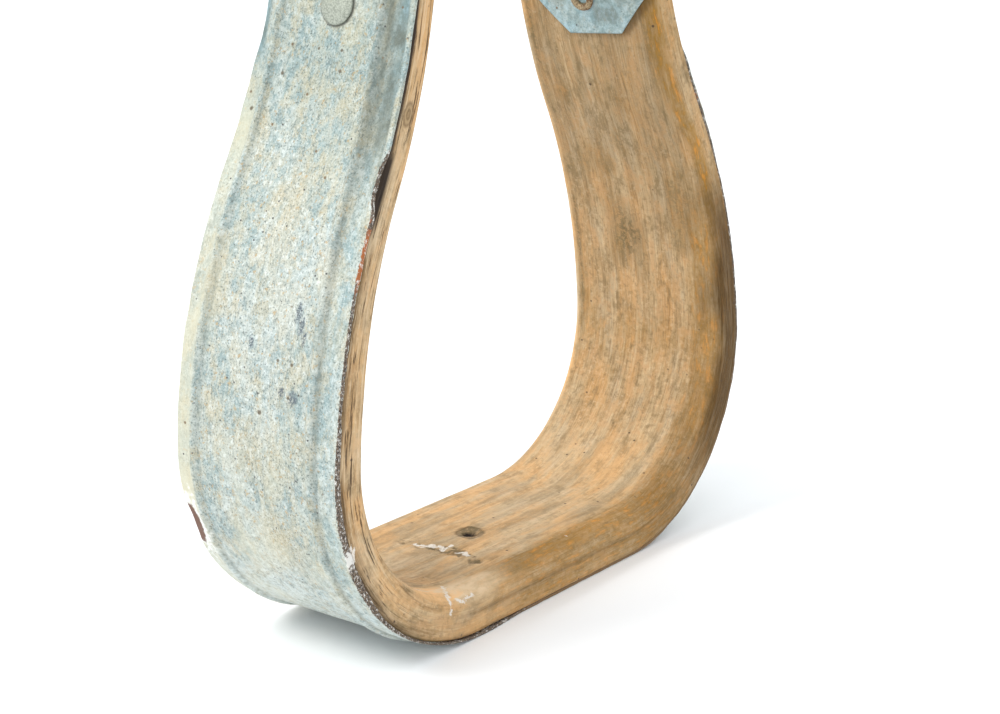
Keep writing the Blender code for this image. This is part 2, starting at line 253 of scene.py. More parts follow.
TOP_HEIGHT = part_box("galvanized_band")[1].z / MM
NECK_START_HEIGHT = float(outline(np.array([NECK_START]))[1][0])
BOLT_HEIGHT = (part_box("roller")[0].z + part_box("roller")[1].z) / 2 / MM
NECK_FACE_X = float(outline(np.array([NECK_START]))[0][0])
FOLD_RADIUS = (NECK_THICKNESS + SEAT + SHEET) / 2
FOLD_START = NECK_START + TOP_HEIGHT - FOLD_RADIUS - NECK_START_HEIGHT


def spaced(stretches):
    """Distances from stretches of (end, spacing), the first of which is (start, None)."""
    found = [np.array([stretches[0][0]])]
    for (near, _), (far, spacing) in zip(stretches, stretches[1:]):
        count = max(1, round((far - near) / spacing))
        found.append(np.linspace(near, far, count + 1)[1:])
    return np.concatenate(found)


def sweep(start, end, steps):
    """Values from start to end, evenly spaced."""
    return start + (end - start) * np.linspace(0, 1, steps)[None, :]


def joined(stretches, column):
    """The stretches of a section end to end: one array for each of their parts."""
    full = [np.broadcast_arrays(*parts, column)[:-1] for parts in stretches]
    return [np.concatenate(part, axis=1) for part in zip(*full)]


# ---- meshes

ROUND_STEPS = 96
ANGLES = np.linspace(0, 2 * math.pi, ROUND_STEPS, endpoint=False)


def grid_solid(name, points, attributes, look, sharp=50, ring=False):
    """A closed solid through rings of points. Its ends are capped, or joined where it is a ring."""
    mesh = bmesh.new()
    rows = [[mesh.verts.new(point * MM) for point in row] for row in points]
    if ring:
        rows.append(rows[0])
    else:
        mesh.faces.new(rows[0])
        mesh.faces.new(rows[-1])
    count = len(rows[0])
    for near, far in zip(rows, rows[1:]):
        for i in range(count):
            j = (i + 1) % count
            mesh.faces.new((near[i], near[j], far[j], far[i]))
    bmesh.ops.recalc_face_normals(mesh, faces=mesh.faces)
    data = bpy.data.meshes.new(name)
    mesh.to_mesh(data)
    mesh.free()
    for key, values in attributes.items():
        kind, field, shape = "FLOAT", "value", points.shape[:2]
        if values.ndim == 3:
            kind, field, shape = "FLOAT_VECTOR", "vector", points.shape
        layer = data.attributes.new(key, kind, "POINT")
        layer.data.foreach_set(field, np.broadcast_to(values, shape).astype(np.float32).ravel())
    data.shade_smooth()
    data.set_sharp_from_angle(angle=math.radians(sharp))
    data.materials.append(look)
    made = bpy.data.objects.new(name, data)
    bpy.context.scene.collection.objects.link(made)
    return made


def column(values):
    """Each value repeated at every angle."""
    return np.asarray(values, float)[:, None] + ANGLES * 0


def turned_solid(name, radius, height, look, place, ring=False, sharp=40):
    """A solid turned about Z and then put in place. radius[step, angle] may vary with the angle."""
    points = stacked(radius * np.cos(ANGLES), radius * np.sin(ANGLES), column(height))
    made = grid_solid(name, points, {"place": points}, look, sharp, ring)
    made.data.transform(place)
    return made


def axis_place(origin, direction):
    """Where a turned piece goes: its own +Z along this direction."""
    turn = Vector(direction).to_track_quat("Z", "Y").to_matrix().to_4x4()
    return Matrix.Translation(Vector(origin) * MM) @ turn


ON_BOLT = axis_place((0.0, 0.0, BOLT_HEIGHT), (1.0, 0.0, 0.0))


# ---- materials


class Look:
    """Builds one procedural material, in layers of colour. Sizes are in millimetres."""

    def __init__(self, name, roughness, metallic, specular):
        self.material = bpy.data.materials.new(name)
        self.material.use_nodes = True
        self.tree = self.material.node_tree
        self.shader = self.tree.nodes["Principled BSDF"]
        self.shader.inputs["Roughness"].default_value = roughness
        self.shader.inputs["Metallic"].default_value = metallic
        self.shader.inputs["Specular IOR Level"].default_value = specular
        self.place = self.attribute("place", "Vector")

    def put(self, value, socket):
        if isinstance(value, bpy.types.NodeSocket):
            self.tree.links.new(value, socket)
        else:
            socket.default_value = (*value, 1.0) if socket.type == "RGBA" else value

    def node(self, kind, output, inputs, **settings):
        made = self.tree.nodes.new("ShaderNode" + kind)
        for key, value in settings.items():
            setattr(made, key, value)
        for socket, value in inputs.items():
            self.put(value, made.inputs[socket])
        return made.outputs[output]

    def attribute(self, name, output="Fac"):
        return self.node("Attribute", output, {}, attribute_name=name)

    def part(self, axis):
        """One coordinate of the place."""
        return self.node("SeparateXYZ", axis, {0: self.place})

    def calc(self, operation, a, b):
        return self.node("Math", 0, {0: a, 1: b}, operation=operation)

    def times(self, a, b):
        return self.calc("MULTIPLY", a, b)

    def scaled(self, size, seed):
        """The place, in units of a size that is one length or one for each direction."""
        size = size if isinstance(size, tuple) else (size, size, size)
        shift = (seed, seed * 1.7, seed * 0.6)
        inputs = {0: self.place, 1: tuple(1 / length for length in size), 2: shift}
        return self.node("VectorMath", 0, inputs, operation="MULTIPLY_ADD")

    def noise(self, size, seed=0.0, detail=3.0, rough=0.55, distortion=0.0):
        """Noise from 0 to 1, mostly near 0.5."""
        inputs = {"Vector": self.scaled(size, seed), "Scale": 1.0, "Detail": detail}
        inputs.update({"Roughness": rough, "Distortion": distortion})
        return self.node("TexNoise", "Fac", inputs)

    def dots(self, spacing, seed, low, high):
        """Scattered dots, 0 outside the radius low and 1 inside high, in spacings."""
        inputs = {"Vector": self.scaled(spacing, seed), "Scale": 1.0}
        return self.ramp(self.node("TexVoronoi", "Distance", inputs), low, high)

    def ramp(self, value, low, high, to_high=1.0, to_low=0.0):
        """From to_low at low to to_high at high, smooth between them."""
        inputs = {"Value": value, "From Min": low, "From Max": high, "To Min": to_low, "To Max": to_high}
        return self.node("MapRange", "Result", inputs, interpolation_type="SMOOTHSTEP")

    def mix(self, share, a, b, blend="MIX"):
        inputs = {"Factor": share, 6: a, 7: b}
        return self.node("Mix", 2, inputs, data_type="RGBA", blend_type=blend)

    def base(self, value, low, high, a, b):
        """The colour under all layers, from a to b."""
        self.colour = self.mix(self.ramp(value, low, high), a, b)

    def paint(self, share, tint, blend="MIX"):
        self.colour = self.mix(share, self.colour, tint, blend)

    def layer(self, value, low, high, share, tint):
        """A layer that is bare where the value is at low and reaches its share at high."""
        self.paint(self.ramp(value, low, high, share), tint)

    def around_zero(self, noise, size):
        """A noise moved to lie about zero, times a size."""
        return self.times(self.calc("SUBTRACT", noise, 0.5), size)

    def blob(self, centre, radii, ragged, grain, soft, seed=0.0, across=1):
        """A patch of the strap with a ragged edge. Its second coordinate is y, or depth if across is 2."""
        off_a = self.times(self.calc("SUBTRACT", self.part(0), centre[0]), 1 / radii[0])
        off_b = self.times(self.calc("SUBTRACT", self.part(across), centre[1]), 1 / radii[1])
        square = self.calc("ADD", self.times(off_a, off_a), self.times(off_b, off_b))
        uneven = self.around_zero(self.noise(grain, seed), 2 * ragged)
        reach = self.calc("ADD", self.calc("POWER", square, 0.5), uneven)
        return self.ramp(reach, 1 + soft, 1 - soft)

    def bump(self, height, distance, strength):
        """Adds a bump to those before it."""
        inputs = {"Strength": strength, "Distance": distance * MM, "Height": height}
        socket = self.shader.inputs["Normal"]
        if socket.is_linked:
            inputs["Normal"] = socket.links[0].from_socket
        self.put(self.node("Bump", "Normal", inputs), socket)

    def finish(self, roughness):
        self.put(self.colour, self.shader.inputs["Base Color"])
        self.put(roughness, self.shader.inputs["Roughness"])
        return self.material


def zinc_material():
    """Old galvanized sheet: blue-grey spangle under chalky white oxide, stained and worn."""
    look = Look("galvanized_zinc", 0.55, 0.25, 0.4)
    fine = look.noise(0.45, 1.3, 3.0, 0.75)
    grit = look.noise(1.3, 6.3, 4.0, 0.72)
    mottle = look.noise((3.8, 2.6, 2.6), 4.1, 4.0, 0.70)
    broad = look.noise((24, 12, 12), 7.7, 3.0, 0.55, 0.4)
    paint_zinc(look, fine, grit, mottle, broad)
    pits = look.times(look.dots(2.6, 5.5, 0.11, 0.05), look.ramp(look.noise(6, 21.0), 0.45, 0.53))
    look.paint(pits, (0.08, 0.08, 0.08))
    look.paint(look.times(look.dots(7.0, 8.8, 0.06, 0.03), 0.85), (0.15, 0.09, 0.04))
    paint_zinc_marks(look, fine, grit)
    crust = paint_crust(look)
    look.paint(look.attribute("shade"), (0.85, 0.88, 0.88), "MULTIPLY")

    look.bump(look.times(pits, -1.0), 0.08, 1.0)
    rough = look.times(crust, look.attribute("rust"))
    look.bump(look.calc("ADD", look.times(fine, 0.6), rough), 0.12, 0.9)
    look.bump(look.calc("ADD", mottle, grit), 0.14, 0.7)
    return look.finish(look.ramp(mottle, 0.3, 0.7, 0.68, 0.48))


def paint_zinc(look, fine, grit, mottle, broad):
    """The sheet's tones, from the broad ones to the finest, with painted light from below, then the
    painted shade in its hollows and along the tab's end, with the tab's stains.
    """
    look.base(mottle, 0.40, 0.60, (0.26, 0.345, 0.345), (0.43, 0.475, 0.435))
    look.layer(look.noise((5, 3, 3), 11.2, 5.0, 0.75), 0.48, 0.62, 0.65, (0.47, 0.42, 0.285))
    look.layer(look.noise((15, 8, 8), 35.2, 3.0, 0.6, 0.5), 0.49, 0.62, 0.60, (0.50, 0.455, 0.32))
    for centre, radii in TAN_PATCHES:
        patch = look.blob(centre, radii, 1.2, 4.0, 0.8, centre[1])
        look.paint(look.times(patch, 0.50), (0.49, 0.43, 0.29))
    look.layer(broad, 0.48, 0.66, 0.40, (0.55, 0.60, 0.58))
    look.layer(look.noise((12, 0.5, 0.5), 2.9, 2.0, 0.6), 0.56, 0.72, 0.50, (0.19, 0.235, 0.235))
    chalk = look.times(look.ramp(grit, 0.48, 0.68), look.ramp(broad, 0.36, 0.58, 0.68, 0.30))
    look.paint(chalk, (0.65, 0.70, 0.68))
    look.layer(grit, 0.48, 0.32, 0.60, (0.17, 0.21, 0.20))
    look.layer(fine, 0.53, 0.70, 0.55, (0.70, 0.74, 0.71))
    look.layer(fine, 0.47, 0.32, 0.92, (0.10, 0.125, 0.12))
    look.layer(look.noise(1.0, 12.7, 3.0, 0.6), 0.60, 0.70, 0.75, (0.42, 0.30, 0.15))
    look.paint(look.attribute("cream"), (0.60, 0.575, 0.435))
    teal = look.mix(look.ramp(grit, 0.40, 0.60), (0.20, 0.32, 0.345), (0.31, 0.47, 0.53))
    look.paint(look.attribute("teal"), teal)
    # Painted light from below: chalky white on the lower part of the band.
    look.paint(look.times(look.attribute("light_from_below"), look.ramp(grit, 0.3, 0.6)), (0.66, 0.72, 0.71))
    # Painted shade in the bead hollows, where the back edge bends in and along the tab's end; the tab's
    # stains too.
    patchiness = look.ramp(mottle, 0.30, 0.60, 0.65, 1.0)
    look.paint(look.times(look.attribute("shade_and_tab_stains"), patchiness), (0.115, 0.13, 0.105))


def paint_zinc_marks(look, fine, grit):
    """The smudges, the painted shade round the rivet's head, the dark spots and the white-rimmed chips."""
    for centre, radii in SMUDGES:
        patch = look.blob(centre, radii, 1.1, 1.3, 0.35, centre[0])
        look.paint(look.times(patch, look.ramp(fine, 0.62, 0.42, 1.0, 0.2)), (0.10, 0.125, 0.145))
    # A ring of painted shade round the left rivet's head, which covers its middle.
    ring = look.blob((LEFT_RIVET_AT, 0.0), (4.65, 4.65), 0.06, 1.5, 0.05)
    look.paint(look.times(ring, 0.7), (0.10, 0.10, 0.085))
    for centre, radius in ZINC_SPOTS:
        spot = look.blob(centre, (radius, radius), 0.45, 0.8, 0.45)
        look.paint(look.times(spot, 0.85), (0.11, 0.08, 0.045))
    for centre, radii in CHIPS:
        rim = look.blob(centre, (radii[0] * 1.5, radii[1] * 1.7), 0.9, 1.5, 0.3)
        look.paint(look.times(rim, look.ramp(grit, 0.42, 0.54, 0.9, 0.35)), (0.84, 0.86, 0.85))
        look.paint(look.blob(centre, radii, 0.22, 1.2, 0.12), (0.16, 0.085, 0.06))


def paint_crust(look):
    """The rust on the bare edge: dark, with orange and white in it, and browner under the sole, where the
    dark edge is partly painted shadow along the floor.
    """
    zinc = look.colour
    crust = look.noise(0.45, 31.0, 3.0, 0.75)
    look.base(crust, 0.35, 0.65, (0.018, 0.013, 0.010), (0.20, 0.145, 0.10))
    # Browner under the sole, where the dark sheet edge is partly painted shadow along the floor.
    under = look.times(look.ramp(look.part(0), -22, -4), look.ramp(look.part(0), 110, 70))
    look.paint(look.times(under, 0.85), (0.22, 0.135, 0.06))
    orange = look.ramp(look.noise((3.0, 1.5, 1.5), 17.0), 0.70, 0.76)
    bloom = look.blob(RUST_BLOOM, (5.5, 1.6), 1.2, 1.5, 0.3)
    look.paint(look.calc("MAXIMUM", orange, bloom), (0.36, 0.115, 0.03))
    white = look.ramp(look.noise((0.8, 0.6, 0.6), 19.0, 4.0, 0.8), 0.54, 0.62, 0.9)
    white = look.times(white, look.calc("SUBTRACT", 1.0, under))
    fluff = look.blob(CRUST_LINT, (1.9, 1.0), 1.5, 0.8, 0.3)
    look.paint(look.calc("MAXIMUM", white, look.times(fluff, 0.9)), (0.75, 0.74, 0.70))
    ragged = look.calc("ADD", look.attribute("rust"), look.around_zero(look.noise(0.7, 23.0), 0.9))
    rusted, look.colour = look.colour, zinc
    look.paint(look.ramp(ragged, 0.42, 0.58), rusted)
    return crust


# Marks on the outer face: the centre's distance along the strap and y, then the size, in millimetres.
SMUDGES = (
    ((-134.6, -8.6), (2.2, 0.8)),
    ((-132.2, -9.8), (1.8, 0.8)),
    ((-130.0, -11.0), (1.3, 0.7)),
    ((-117.8, -9.8), (1.5, 1.3)),
    ((-118.4, -6.6), (1.1, 0.8)),
    ((-127.0, 3.0), (1.2, 0.6)),
)
ZINC_SPOTS = (
    ((-182.4, 11.8), 0.42),
    ((-184.2, -3.5), 0.38),
    ((-188.4, -3.0), 0.34),
    ((-174.3, 18.0), 0.45),
    ((-188.3, 3.3), 0.30),
    ((-113.3, -0.9), 0.50),
    ((-124.3, -8.7), 0.38),
    ((-124.6, -4.8), 0.32),
    ((-117.6, -8.6), 0.35),
)
RUST_BLOOM = (-147.5, -21.6)
CRUST_LINT = (-85.0, -22.3)
TAN_PATCHES = (
    ((-82.0, -5.5), (7.0, 5.0)),
    ((-103.0, 3.5), (6.0, 4.0)),
    ((-158.0, 1.0), (6.0, 5.0)),
)
CHIPS = (
    ((CHIP_AT, 21.2), (5.2, 1.9)),
    ((-49.0, -19.6), (4.5, 0.8)),
)


# A knot through the left leg, front to back: its centre's distance and depth, and its rings from the
# outside in, each with its size, its strength and its colour.
KNOT_PLACE = (-178.0, 4.0)
KNOT_RADII = (2.7, 1.5)
KNOT_RINGS = (
    (1.0, 0.70, (0.15, 0.095, 0.045)),
    (0.72, 0.80, (0.40, 0.28, 0.15)),
    (0.45, 0.70, (0.17, 0.11, 0.05)),
    (0.22, 0.60, (0.34, 0.23, 0.12)),
)


def wood_material():
    """Bare weathered hardwood: long fine grain, darker and orange in streaks, grey with dirt."""
    look = Look("weathered_hardwood", 0.68, 0.0, 0.2)
    fibre = look.noise((6.0, 0.28, 0.28), 1.1, 3.0, 0.70)
    grain = look.noise((15, 0.85, 0.85), 3.7, 3.0, 0.65, 0.15)
    figure = look.noise((42, 4.2, 3.0), 6.1, 3.0, 0.55, 0.6)
    mottle = look.noise((5.5, 3.0, 3.0), 9.4, 4.0, 0.68)
    tint = look.noise((26, 7, 7), 22.4, 4.0, 0.62, 0.3)
    speckle = look.noise(1.3, 13.0, 4.0, 0.7)
    look.base(figure, 0.34, 0.66, (0.38, 0.245, 0.115), (0.46, 0.325, 0.175))
    look.layer(tint, 0.50, 0.66, 0.65, (0.54, 0.30, 0.115))
    look.layer(tint, 0.48, 0.34, 0.60, (0.46, 0.37, 0.245))
    look.layer(grain, 0.50, 0.36, 0.42, (0.20, 0.125, 0.055))
    look.layer(grain, 0.54, 0.68, 0.42, (0.62, 0.46, 0.28))
    look.layer(fibre, 0.47, 0.33, 0.42, (0.150, 0.095, 0.045))
    look.layer(fibre, 0.54, 0.70, 0.42, (0.64, 0.49, 0.31))
    look.layer(mottle, 0.50, 0.62, 0.60, (0.50, 0.300, 0.140))
    look.layer(mottle, 0.48, 0.33, 0.65, (0.215, 0.148, 0.068))
    look.layer(speckle, 0.48, 0.34, 0.45, (0.19, 0.125, 0.06))
    look.layer(speckle, 0.53, 0.68, 0.40, (0.64, 0.47, 0.29))
    paint_stains(look, fibre, mottle, tint, speckle)
    side = look.attribute("side")
    layers = look.noise((12, 2.0, 0.65), 15.0, 4.0, 0.70, 0.25)
    lines = look.times(side, look.ramp(layers, 0.43, 0.36))
    look.paint(look.times(lines, 0.88), (0.055, 0.032, 0.015))
    look.paint(look.times(side, look.ramp(layers, 0.52, 0.64, 0.6)), (0.64, 0.50, 0.33))
    paint_wood_marks(look, speckle)

    look.bump(fibre, 0.09, 0.8)
    look.bump(grain, 0.16, 0.7)
    look.bump(speckle, 0.08, 0.5)
    look.bump(look.times(lines, -1.0), 0.15, 0.8)
    return look.finish(look.ramp(grain, 0.3, 0.7, 0.60, 0.75))


def paint_stains(look, fibre, mottle, tint, speckle):
    """The golden stains, the bleached places and the painted light on the tread's front corner, the dirt,
    and the darkest parts, partly painted shade and painted shadow.
    """
    stain = look.noise((4.5, 1.2, 1.2), 18.3, 4.0, 0.70)
    gold = look.mix(look.ramp(stain, 0.52, 0.66), (0.31, 0.165, 0.030), (0.58, 0.24, 0.030))
    bright = look.mix(look.ramp(tint, 0.44, 0.58), (0.70, 0.53, 0.34), (0.80, 0.49, 0.235))
    for name, uneven, colour in (
        ("warm", look.ramp(stain, 0.36, 0.58, 1.0, 0.45), gold),
        # Pale: bleached places, and painted light on the tread's front corner.
        ("pale", look.ramp(mottle, 0.35, 0.60, 1.0, 0.65), bright),
        ("dirt", look.ramp(speckle, 0.40, 0.60, 1.0, 0.30), (0.115, 0.088, 0.040)),
        # Dark: the darkest wood, partly painted shade and painted shadow.
        ("dark", look.ramp(fibre, 0.3, 0.65, 0.8, 1.0), (0.070, 0.035, 0.007)),
    ):
        look.paint(look.times(look.attribute(name), uneven), colour)


def paint_wood_marks(look, speckle):
    """The specks, the knot, the torn patch, the painted shade in the nail's hole and the seam, and the
    lint.
    """
    specks = look.times(look.dots(4.2, 6.5, 0.10, 0.05), look.ramp(look.noise(8, 27.0), 0.46, 0.54))
    look.paint(look.times(specks, 0.85), (0.07, 0.045, 0.03))
    for size, share, shade in KNOT_RINGS:
        radii = (KNOT_RADII[0] * size, KNOT_RADII[1] * size)
        ring = look.blob(KNOT_PLACE, radii, 0.20, 1.0, 0.20, size, across=2)
        look.paint(look.times(ring, share), shade)
    scar = look.calc("ADD", look.attribute("scar"), look.around_zero(speckle, 1.6))
    look.layer(scar, 0.35, 0.95, 0.85, (0.125, 0.092, 0.045))
    # Painted shade, near black, in the hole round the nail, and painted shadow in the seam and notch under
    # the band's lip.
    look.paint(look.attribute("hole_and_seam_shade"), (0.018, 0.011, 0.008))
    lint = look.attribute("lint")
    wool = look.around_zero(look.noise(0.5, 41.0, 3.0, 0.75), 2.2)
    fluff = look.ramp(look.calc("ADD", lint, wool), 0.50, 0.85)
    look.paint(look.times(fluff, look.ramp(lint, 0.0, 0.3, 0.85)), (0.72, 0.68, 0.62))


def steel_material(name, base, dark, rust, rust_share):
    """Aged steel: dull, pitted, and rusting in patches. rust_share is from 0 to 1."""
    look = Look(name, 0.5, 0.55, 0.4)
    fine = look.noise(0.35, 2.2, 3.0, 0.7)
    patches = look.noise(2.4, 5.1, 4.0, 0.65)
    look.base(fine, 0.35, 0.65, dark, base)
    low = 0.72 - 0.36 * rust_share
    grainy = look.mix(look.ramp(fine, 0.3, 0.7), (0.06, 0.03, 0.018), rust)
    look.paint(look.ramp(patches, low, low + 0.12), grainy)
    look.bump(look.calc("ADD", fine, look.times(patches, 0.8)), 0.09, 0.8)
    return look.finish(look.ramp(patches, 0.35, 0.65, 0.72, 0.42))


def roller_material():
    """Turned hardwood, darkened and polished by the leather, with lathe rings and long grain."""
    look = Look("roller_hardwood", 0.5, 0.0, 0.4)
    grain = look.noise((0.8, 0.8, 16), 3.0, 3.0, 0.6, 0.3)
    rings = look.noise((6, 6, 0.45), 8.0, 2.0, 0.6)
    look.base(grain, 0.35, 0.65, (0.15, 0.075, 0.035), (0.38, 0.225, 0.11))
    look.layer(rings, 0.52, 0.36, 0.5, (0.10, 0.05, 0.025))
    look.layer(look.noise((5, 5, 9), 12.0), 0.45, 0.65, 0.5, (0.46, 0.29, 0.155))
    look.bump(look.calc("ADD", grain, look.times(rings, 0.5)), 0.12, 0.7)
    return look.finish(look.ramp(grain, 0.3, 0.7, 0.62, 0.42))


# ---- the wood


def front_rounding(s):
    """The worn front inner edge: how far its rounding reaches across and down, wider from the tread on."""
    worn = ramp(-62, -26, s) * (1 - 0.5 * ramp(125, 170, s))
    return (2.4 + 3.8 * worn), (2.2 + 2.0 * worn)


BACK_ROUNDING = 1.8
OUTER_EDGE = 0.5
INNER_STEPS = 74
ROUNDING_STEPS = 12
SIDE_STEPS = 10
OUTER_STEPS = 10


def wood_section(s):
    """Round the wood, for a column of distances: y, depth, and the outward direction's y and depth."""
    width = half_width(s) - WOOD_SIDE_INSET
    deep = thickness(s)
    low = WOOD_DEPTH + OUTER_EDGE
    reach_y, reach_z = front_rounding(s)
    turn = np.linspace(0, math.pi / 2, ROUNDING_STEPS + 2)[None, 1:-1]
    sin, cos = np.sin(turn), np.cos(turn)
    near_back = width - BACK_ROUNDING
    stretches = (
        (sweep(near_back, reach_y - width, INNER_STEPS), deep, 0, 1),
        (reach_y - width - reach_y * sin, deep - reach_z + reach_z * cos, -sin, cos),
        (-width, sweep(deep - reach_z, low, SIDE_STEPS), -1, 0),
        (sweep(OUTER_EDGE - width, width - OUTER_EDGE, OUTER_STEPS), WOOD_DEPTH, 0, -1),
        (width, sweep(low, deep - BACK_ROUNDING, SIDE_STEPS), 1, 0),
        (near_back + BACK_ROUNDING * cos, deep - BACK_ROUNDING + BACK_ROUNDING * sin, cos, sin),
    )
    return joined(stretches, width)


NAIL_PLACE = (-4.2, 1.0)
NAIL_PIT = (3.7, 4.6)
NAIL_PIT_TURN = math.radians(38)
NAIL_BOWL_DEPTH = 0.4
NAIL_PIT_DEPTH = 1.4
# The line of the torn patch beside the nail, as (distance, y) in millimetres, and its half width.
TEAR_LINE = ((-17.2, 9.6), (-18.0, 5.2), (-16.8, 2.4), (-16.6, -1.4), (-15.0, -5.2), (-17.0, -10.6))
TEAR_HALF_WIDTH = 2.1


def line_reach(line, u, v):
    """How far each (u, v) is from a broken line."""
    nearest = np.full(np.broadcast(u, v).shape, np.inf)
    for (u0, v0), (u1, v1) in zip(line, line[1:]):
        run_u, run_v = u1 - u0, v1 - v0
        share = ((u - u0) * run_u + (v - v0) * run_v) / (run_u * run_u + run_v * run_v)
        share = np.clip(share, 0.0, 1.0)
        nearest = np.minimum(nearest, np.hypot(u - u0 - share * run_u, v - v0 - share * run_v))
    return nearest


def nail_pit(s, y):
    """0 at the pit's rim and beyond it, 1 at its middle."""
    off_s, off_y = s - NAIL_PLACE[0], y - NAIL_PLACE[1]
    across = off_s * math.sin(NAIL_PIT_TURN) - off_y * math.cos(NAIL_PIT_TURN)
    away = off_s * math.cos(NAIL_PIT_TURN) + off_y * math.sin(NAIL_PIT_TURN)
    reach = (np.abs(across) / NAIL_PIT[0]) ** 1.5 + (np.abs(away) / NAIL_PIT[1]) ** 1.5
    return np.clip(1 - reach ** (1 / 1.5), 0.0, 1.0)


def nail_hole(s, y):
    """1 in the hole round the broken nail, at the pit's middle."""
    reach = np.hypot(s - NAIL_PLACE[0], y - NAIL_PLACE[1])
    return ramp(1.9, 1.2, reach)


def tear(s, y):
    """1 along the middle of the torn patch, with ragged sides."""
    ragged = 0.75 * layered_noise(s / 1.7, y / 1.3, 43)
    reach = line_reach(TEAR_LINE, s, y) / TEAR_HALF_WIDTH
    broken = ramp(-0.9, 0.4, layered_noise(s / 3.1, y / 2.6, 47))
    return ramp(1.3, 0.3, reach + ragged) * broken


def wood_relief(s, y, depth, facing):
    """How far the wood's surface stands proud of its section. facing is 1 on the inner face."""
    around = y - depth
    rough = 0.085 * layered_noise(s / 20, around / 9, 11)
    ridges = 0.050 * layered_noise(s / 34, around / 1.3, 21, 2)
    splits = smooth_noise(s / 40, (depth + 0.3 * y) / 1.1, 31)
    grooves = -0.13 * ramp(0.45, 0.85, splits) * (1 - ramp(0.0, 0.4, facing))
    pit = -NAIL_BOWL_DEPTH * ramp(0.0, 0.45, nail_pit(s, y)) * facing
    pit = pit + (NAIL_BOWL_DEPTH - NAIL_PIT_DEPTH) * nail_hole(s, y) * facing
    chips = layered_noise(s / 2.2, y / 1.4, 41)
    torn = -0.55 * tear(s, y) * facing * (0.85 + 0.45 * chips)
    bottom = facing < -0.5
    return (rough + ridges) * ~bottom + grooves + pit + torn


def wood_marks(s, y, depth, facing):
    """The strengths, from 0 to 1, of the wood's stains and dirt, and of the painted light and painted
    shade on it.
    """
    width = half_width(s)
    from_front, from_back = y + width, width - y
    blotch = layered_noise(s / 14, y / 6, 51)
    streaks = layered_noise(s / 60, y / 2.2, 61, 2)
    side = ramp(0.5, 0.2, facing)
    tread = between(-45, -25, 45, 75, s)
    flank = between(40, 80, 126, 152, s)
    corner = between(-75, -50, -29, -11, s) * ramp(9, 5, from_front)
    rounded = ramp(8.5, 5.5, from_front) * ramp(-62, -26, s)
    # The stain wanders along the right leg's front edge. There, y is unrolled down the side.
    unrolled = from_front - thickness(s) + depth
    off_stain = unrolled - 1.6 + 3.0 * ramp(174, 150, s)
    stain = bell(off_stain - 0.9 * streaks, 2.5, 4) * ramp(118, 135, s)
    beside_stain = bell(off_stain - 2.6 - streaks, 1.1) * ramp(125, 160, s)
    inner_edge = bell(from_front - 6.2, 1.8) * facing * between(-45, -25, 110, 135, s)
    warm = highest(
        stain * (0.82 + 0.18 * ramp(-0.8, 0.4, blotch + streaks)),
        0.65 * inner_edge * (0.75 + 0.5 * streaks),
        (0.65 + 0.30 * ramp(15, 45, s)) * rounded * tread * (0.8 + 0.4 * streaks),
        0.20 * side * between(-20, 10, 45, 75, s) * (0.7 + 0.6 * streaks),
        0.30 * ramp(60, 95, s) * ramp(0.0, 0.9, blotch),
        0.6 * rounded * flank,
    )
    pale = highest(
        0.75 * ramp(2.6, 1.4, from_back) * facing * ramp(20, 60, np.abs(s)),
        0.35 * tread * facing * (1 - rounded),
        0.30 * side * ramp(-45, -75, s) * (y < 0),
        # Painted light on the tread's front corner, over the paler wood there.
        1.12 * corner * (0.75 + 0.6 * streaks),
        0.7 * oval(s, y, (-31, 6), (9, 8)) * facing * ramp(-0.9, 0.3, blotch),
    )
    crumbs = ramp(0.15, 0.75, layered_noise(s / 1.9, y / 1.5, 57)) * facing
    dirt = highest(
        0.85 * bell(from_back - 3.2, 0.6) * ramp(75, 120, s) * ramp(0.0, 0.5, 0.6 + blotch),
        0.55 * ramp(95, 130, s) * ramp(-0.1, 0.9, blotch) * ramp(0.5, 3, from_front),
        0.95 * oval(s, y + 0.1 * (s - 129), (129, 2.5), (13, 6)) * ramp(-0.8, 0.5, blotch),
        0.32 * ramp(120, 155, s) * facing * (0.9 + 0.6 * streaks),
        0.35 * tread * (1 - corner) * ramp(0.25, 0.9, streaks + 0.5 * blotch),
        0.85 * crumbs * oval(s, y, (-18, 4), (5, 9)),
        0.42 * oval(s, y, (-26, -9), (8, 6)) * facing * ramp(-0.7, 0.5, blotch + streaks),
        0.6 * beside_stain * ramp(-0.6, 0.5, blotch),
    )
    beside_lip = ramp(0.5, -0.5, y / width) * side * ramp(-40, -62, s)
    cracks = layered_noise(s / 9, depth / 0.8, 53)
    pit = nail_pit(s, y)
    # Painted shade on the right leg's rounded front edge and its sides, and painted shadow round the tab's
    # end; also darker on the tread's rounded front edge, along a line on the tread's side, beside the
    # band's lip and in a ring round the nail's pit.
    dark = highest(
        rounded * flank * (0.22 + 0.78 * ramp(1.5, -2.5, unrolled) + 0.2 * blotch),
        side * flank * ramp(0.6, 0.0, facing),
        0.55 * rounded * between(22, 48, 60, 90, s) * (0.8 + 0.4 * streaks),
        0.7 * tab_shadow(s, y) * facing,
        0.5 * bell(depth - 5.8, 0.6) * side * tread,
        0.8 * beside_lip * ramp(3.2, 0.2, depth - lip_reach(s) + 1.1 * cracks),
        0.8 * between(0.0, 0.08, 0.16, 0.30, pit) * facing,
    )
    marks = {"warm": warm, "pale": pale, "dirt": dirt, "dark": dark}
    return {name: np.clip(mark, 0, 1) for name, mark in marks.items()}


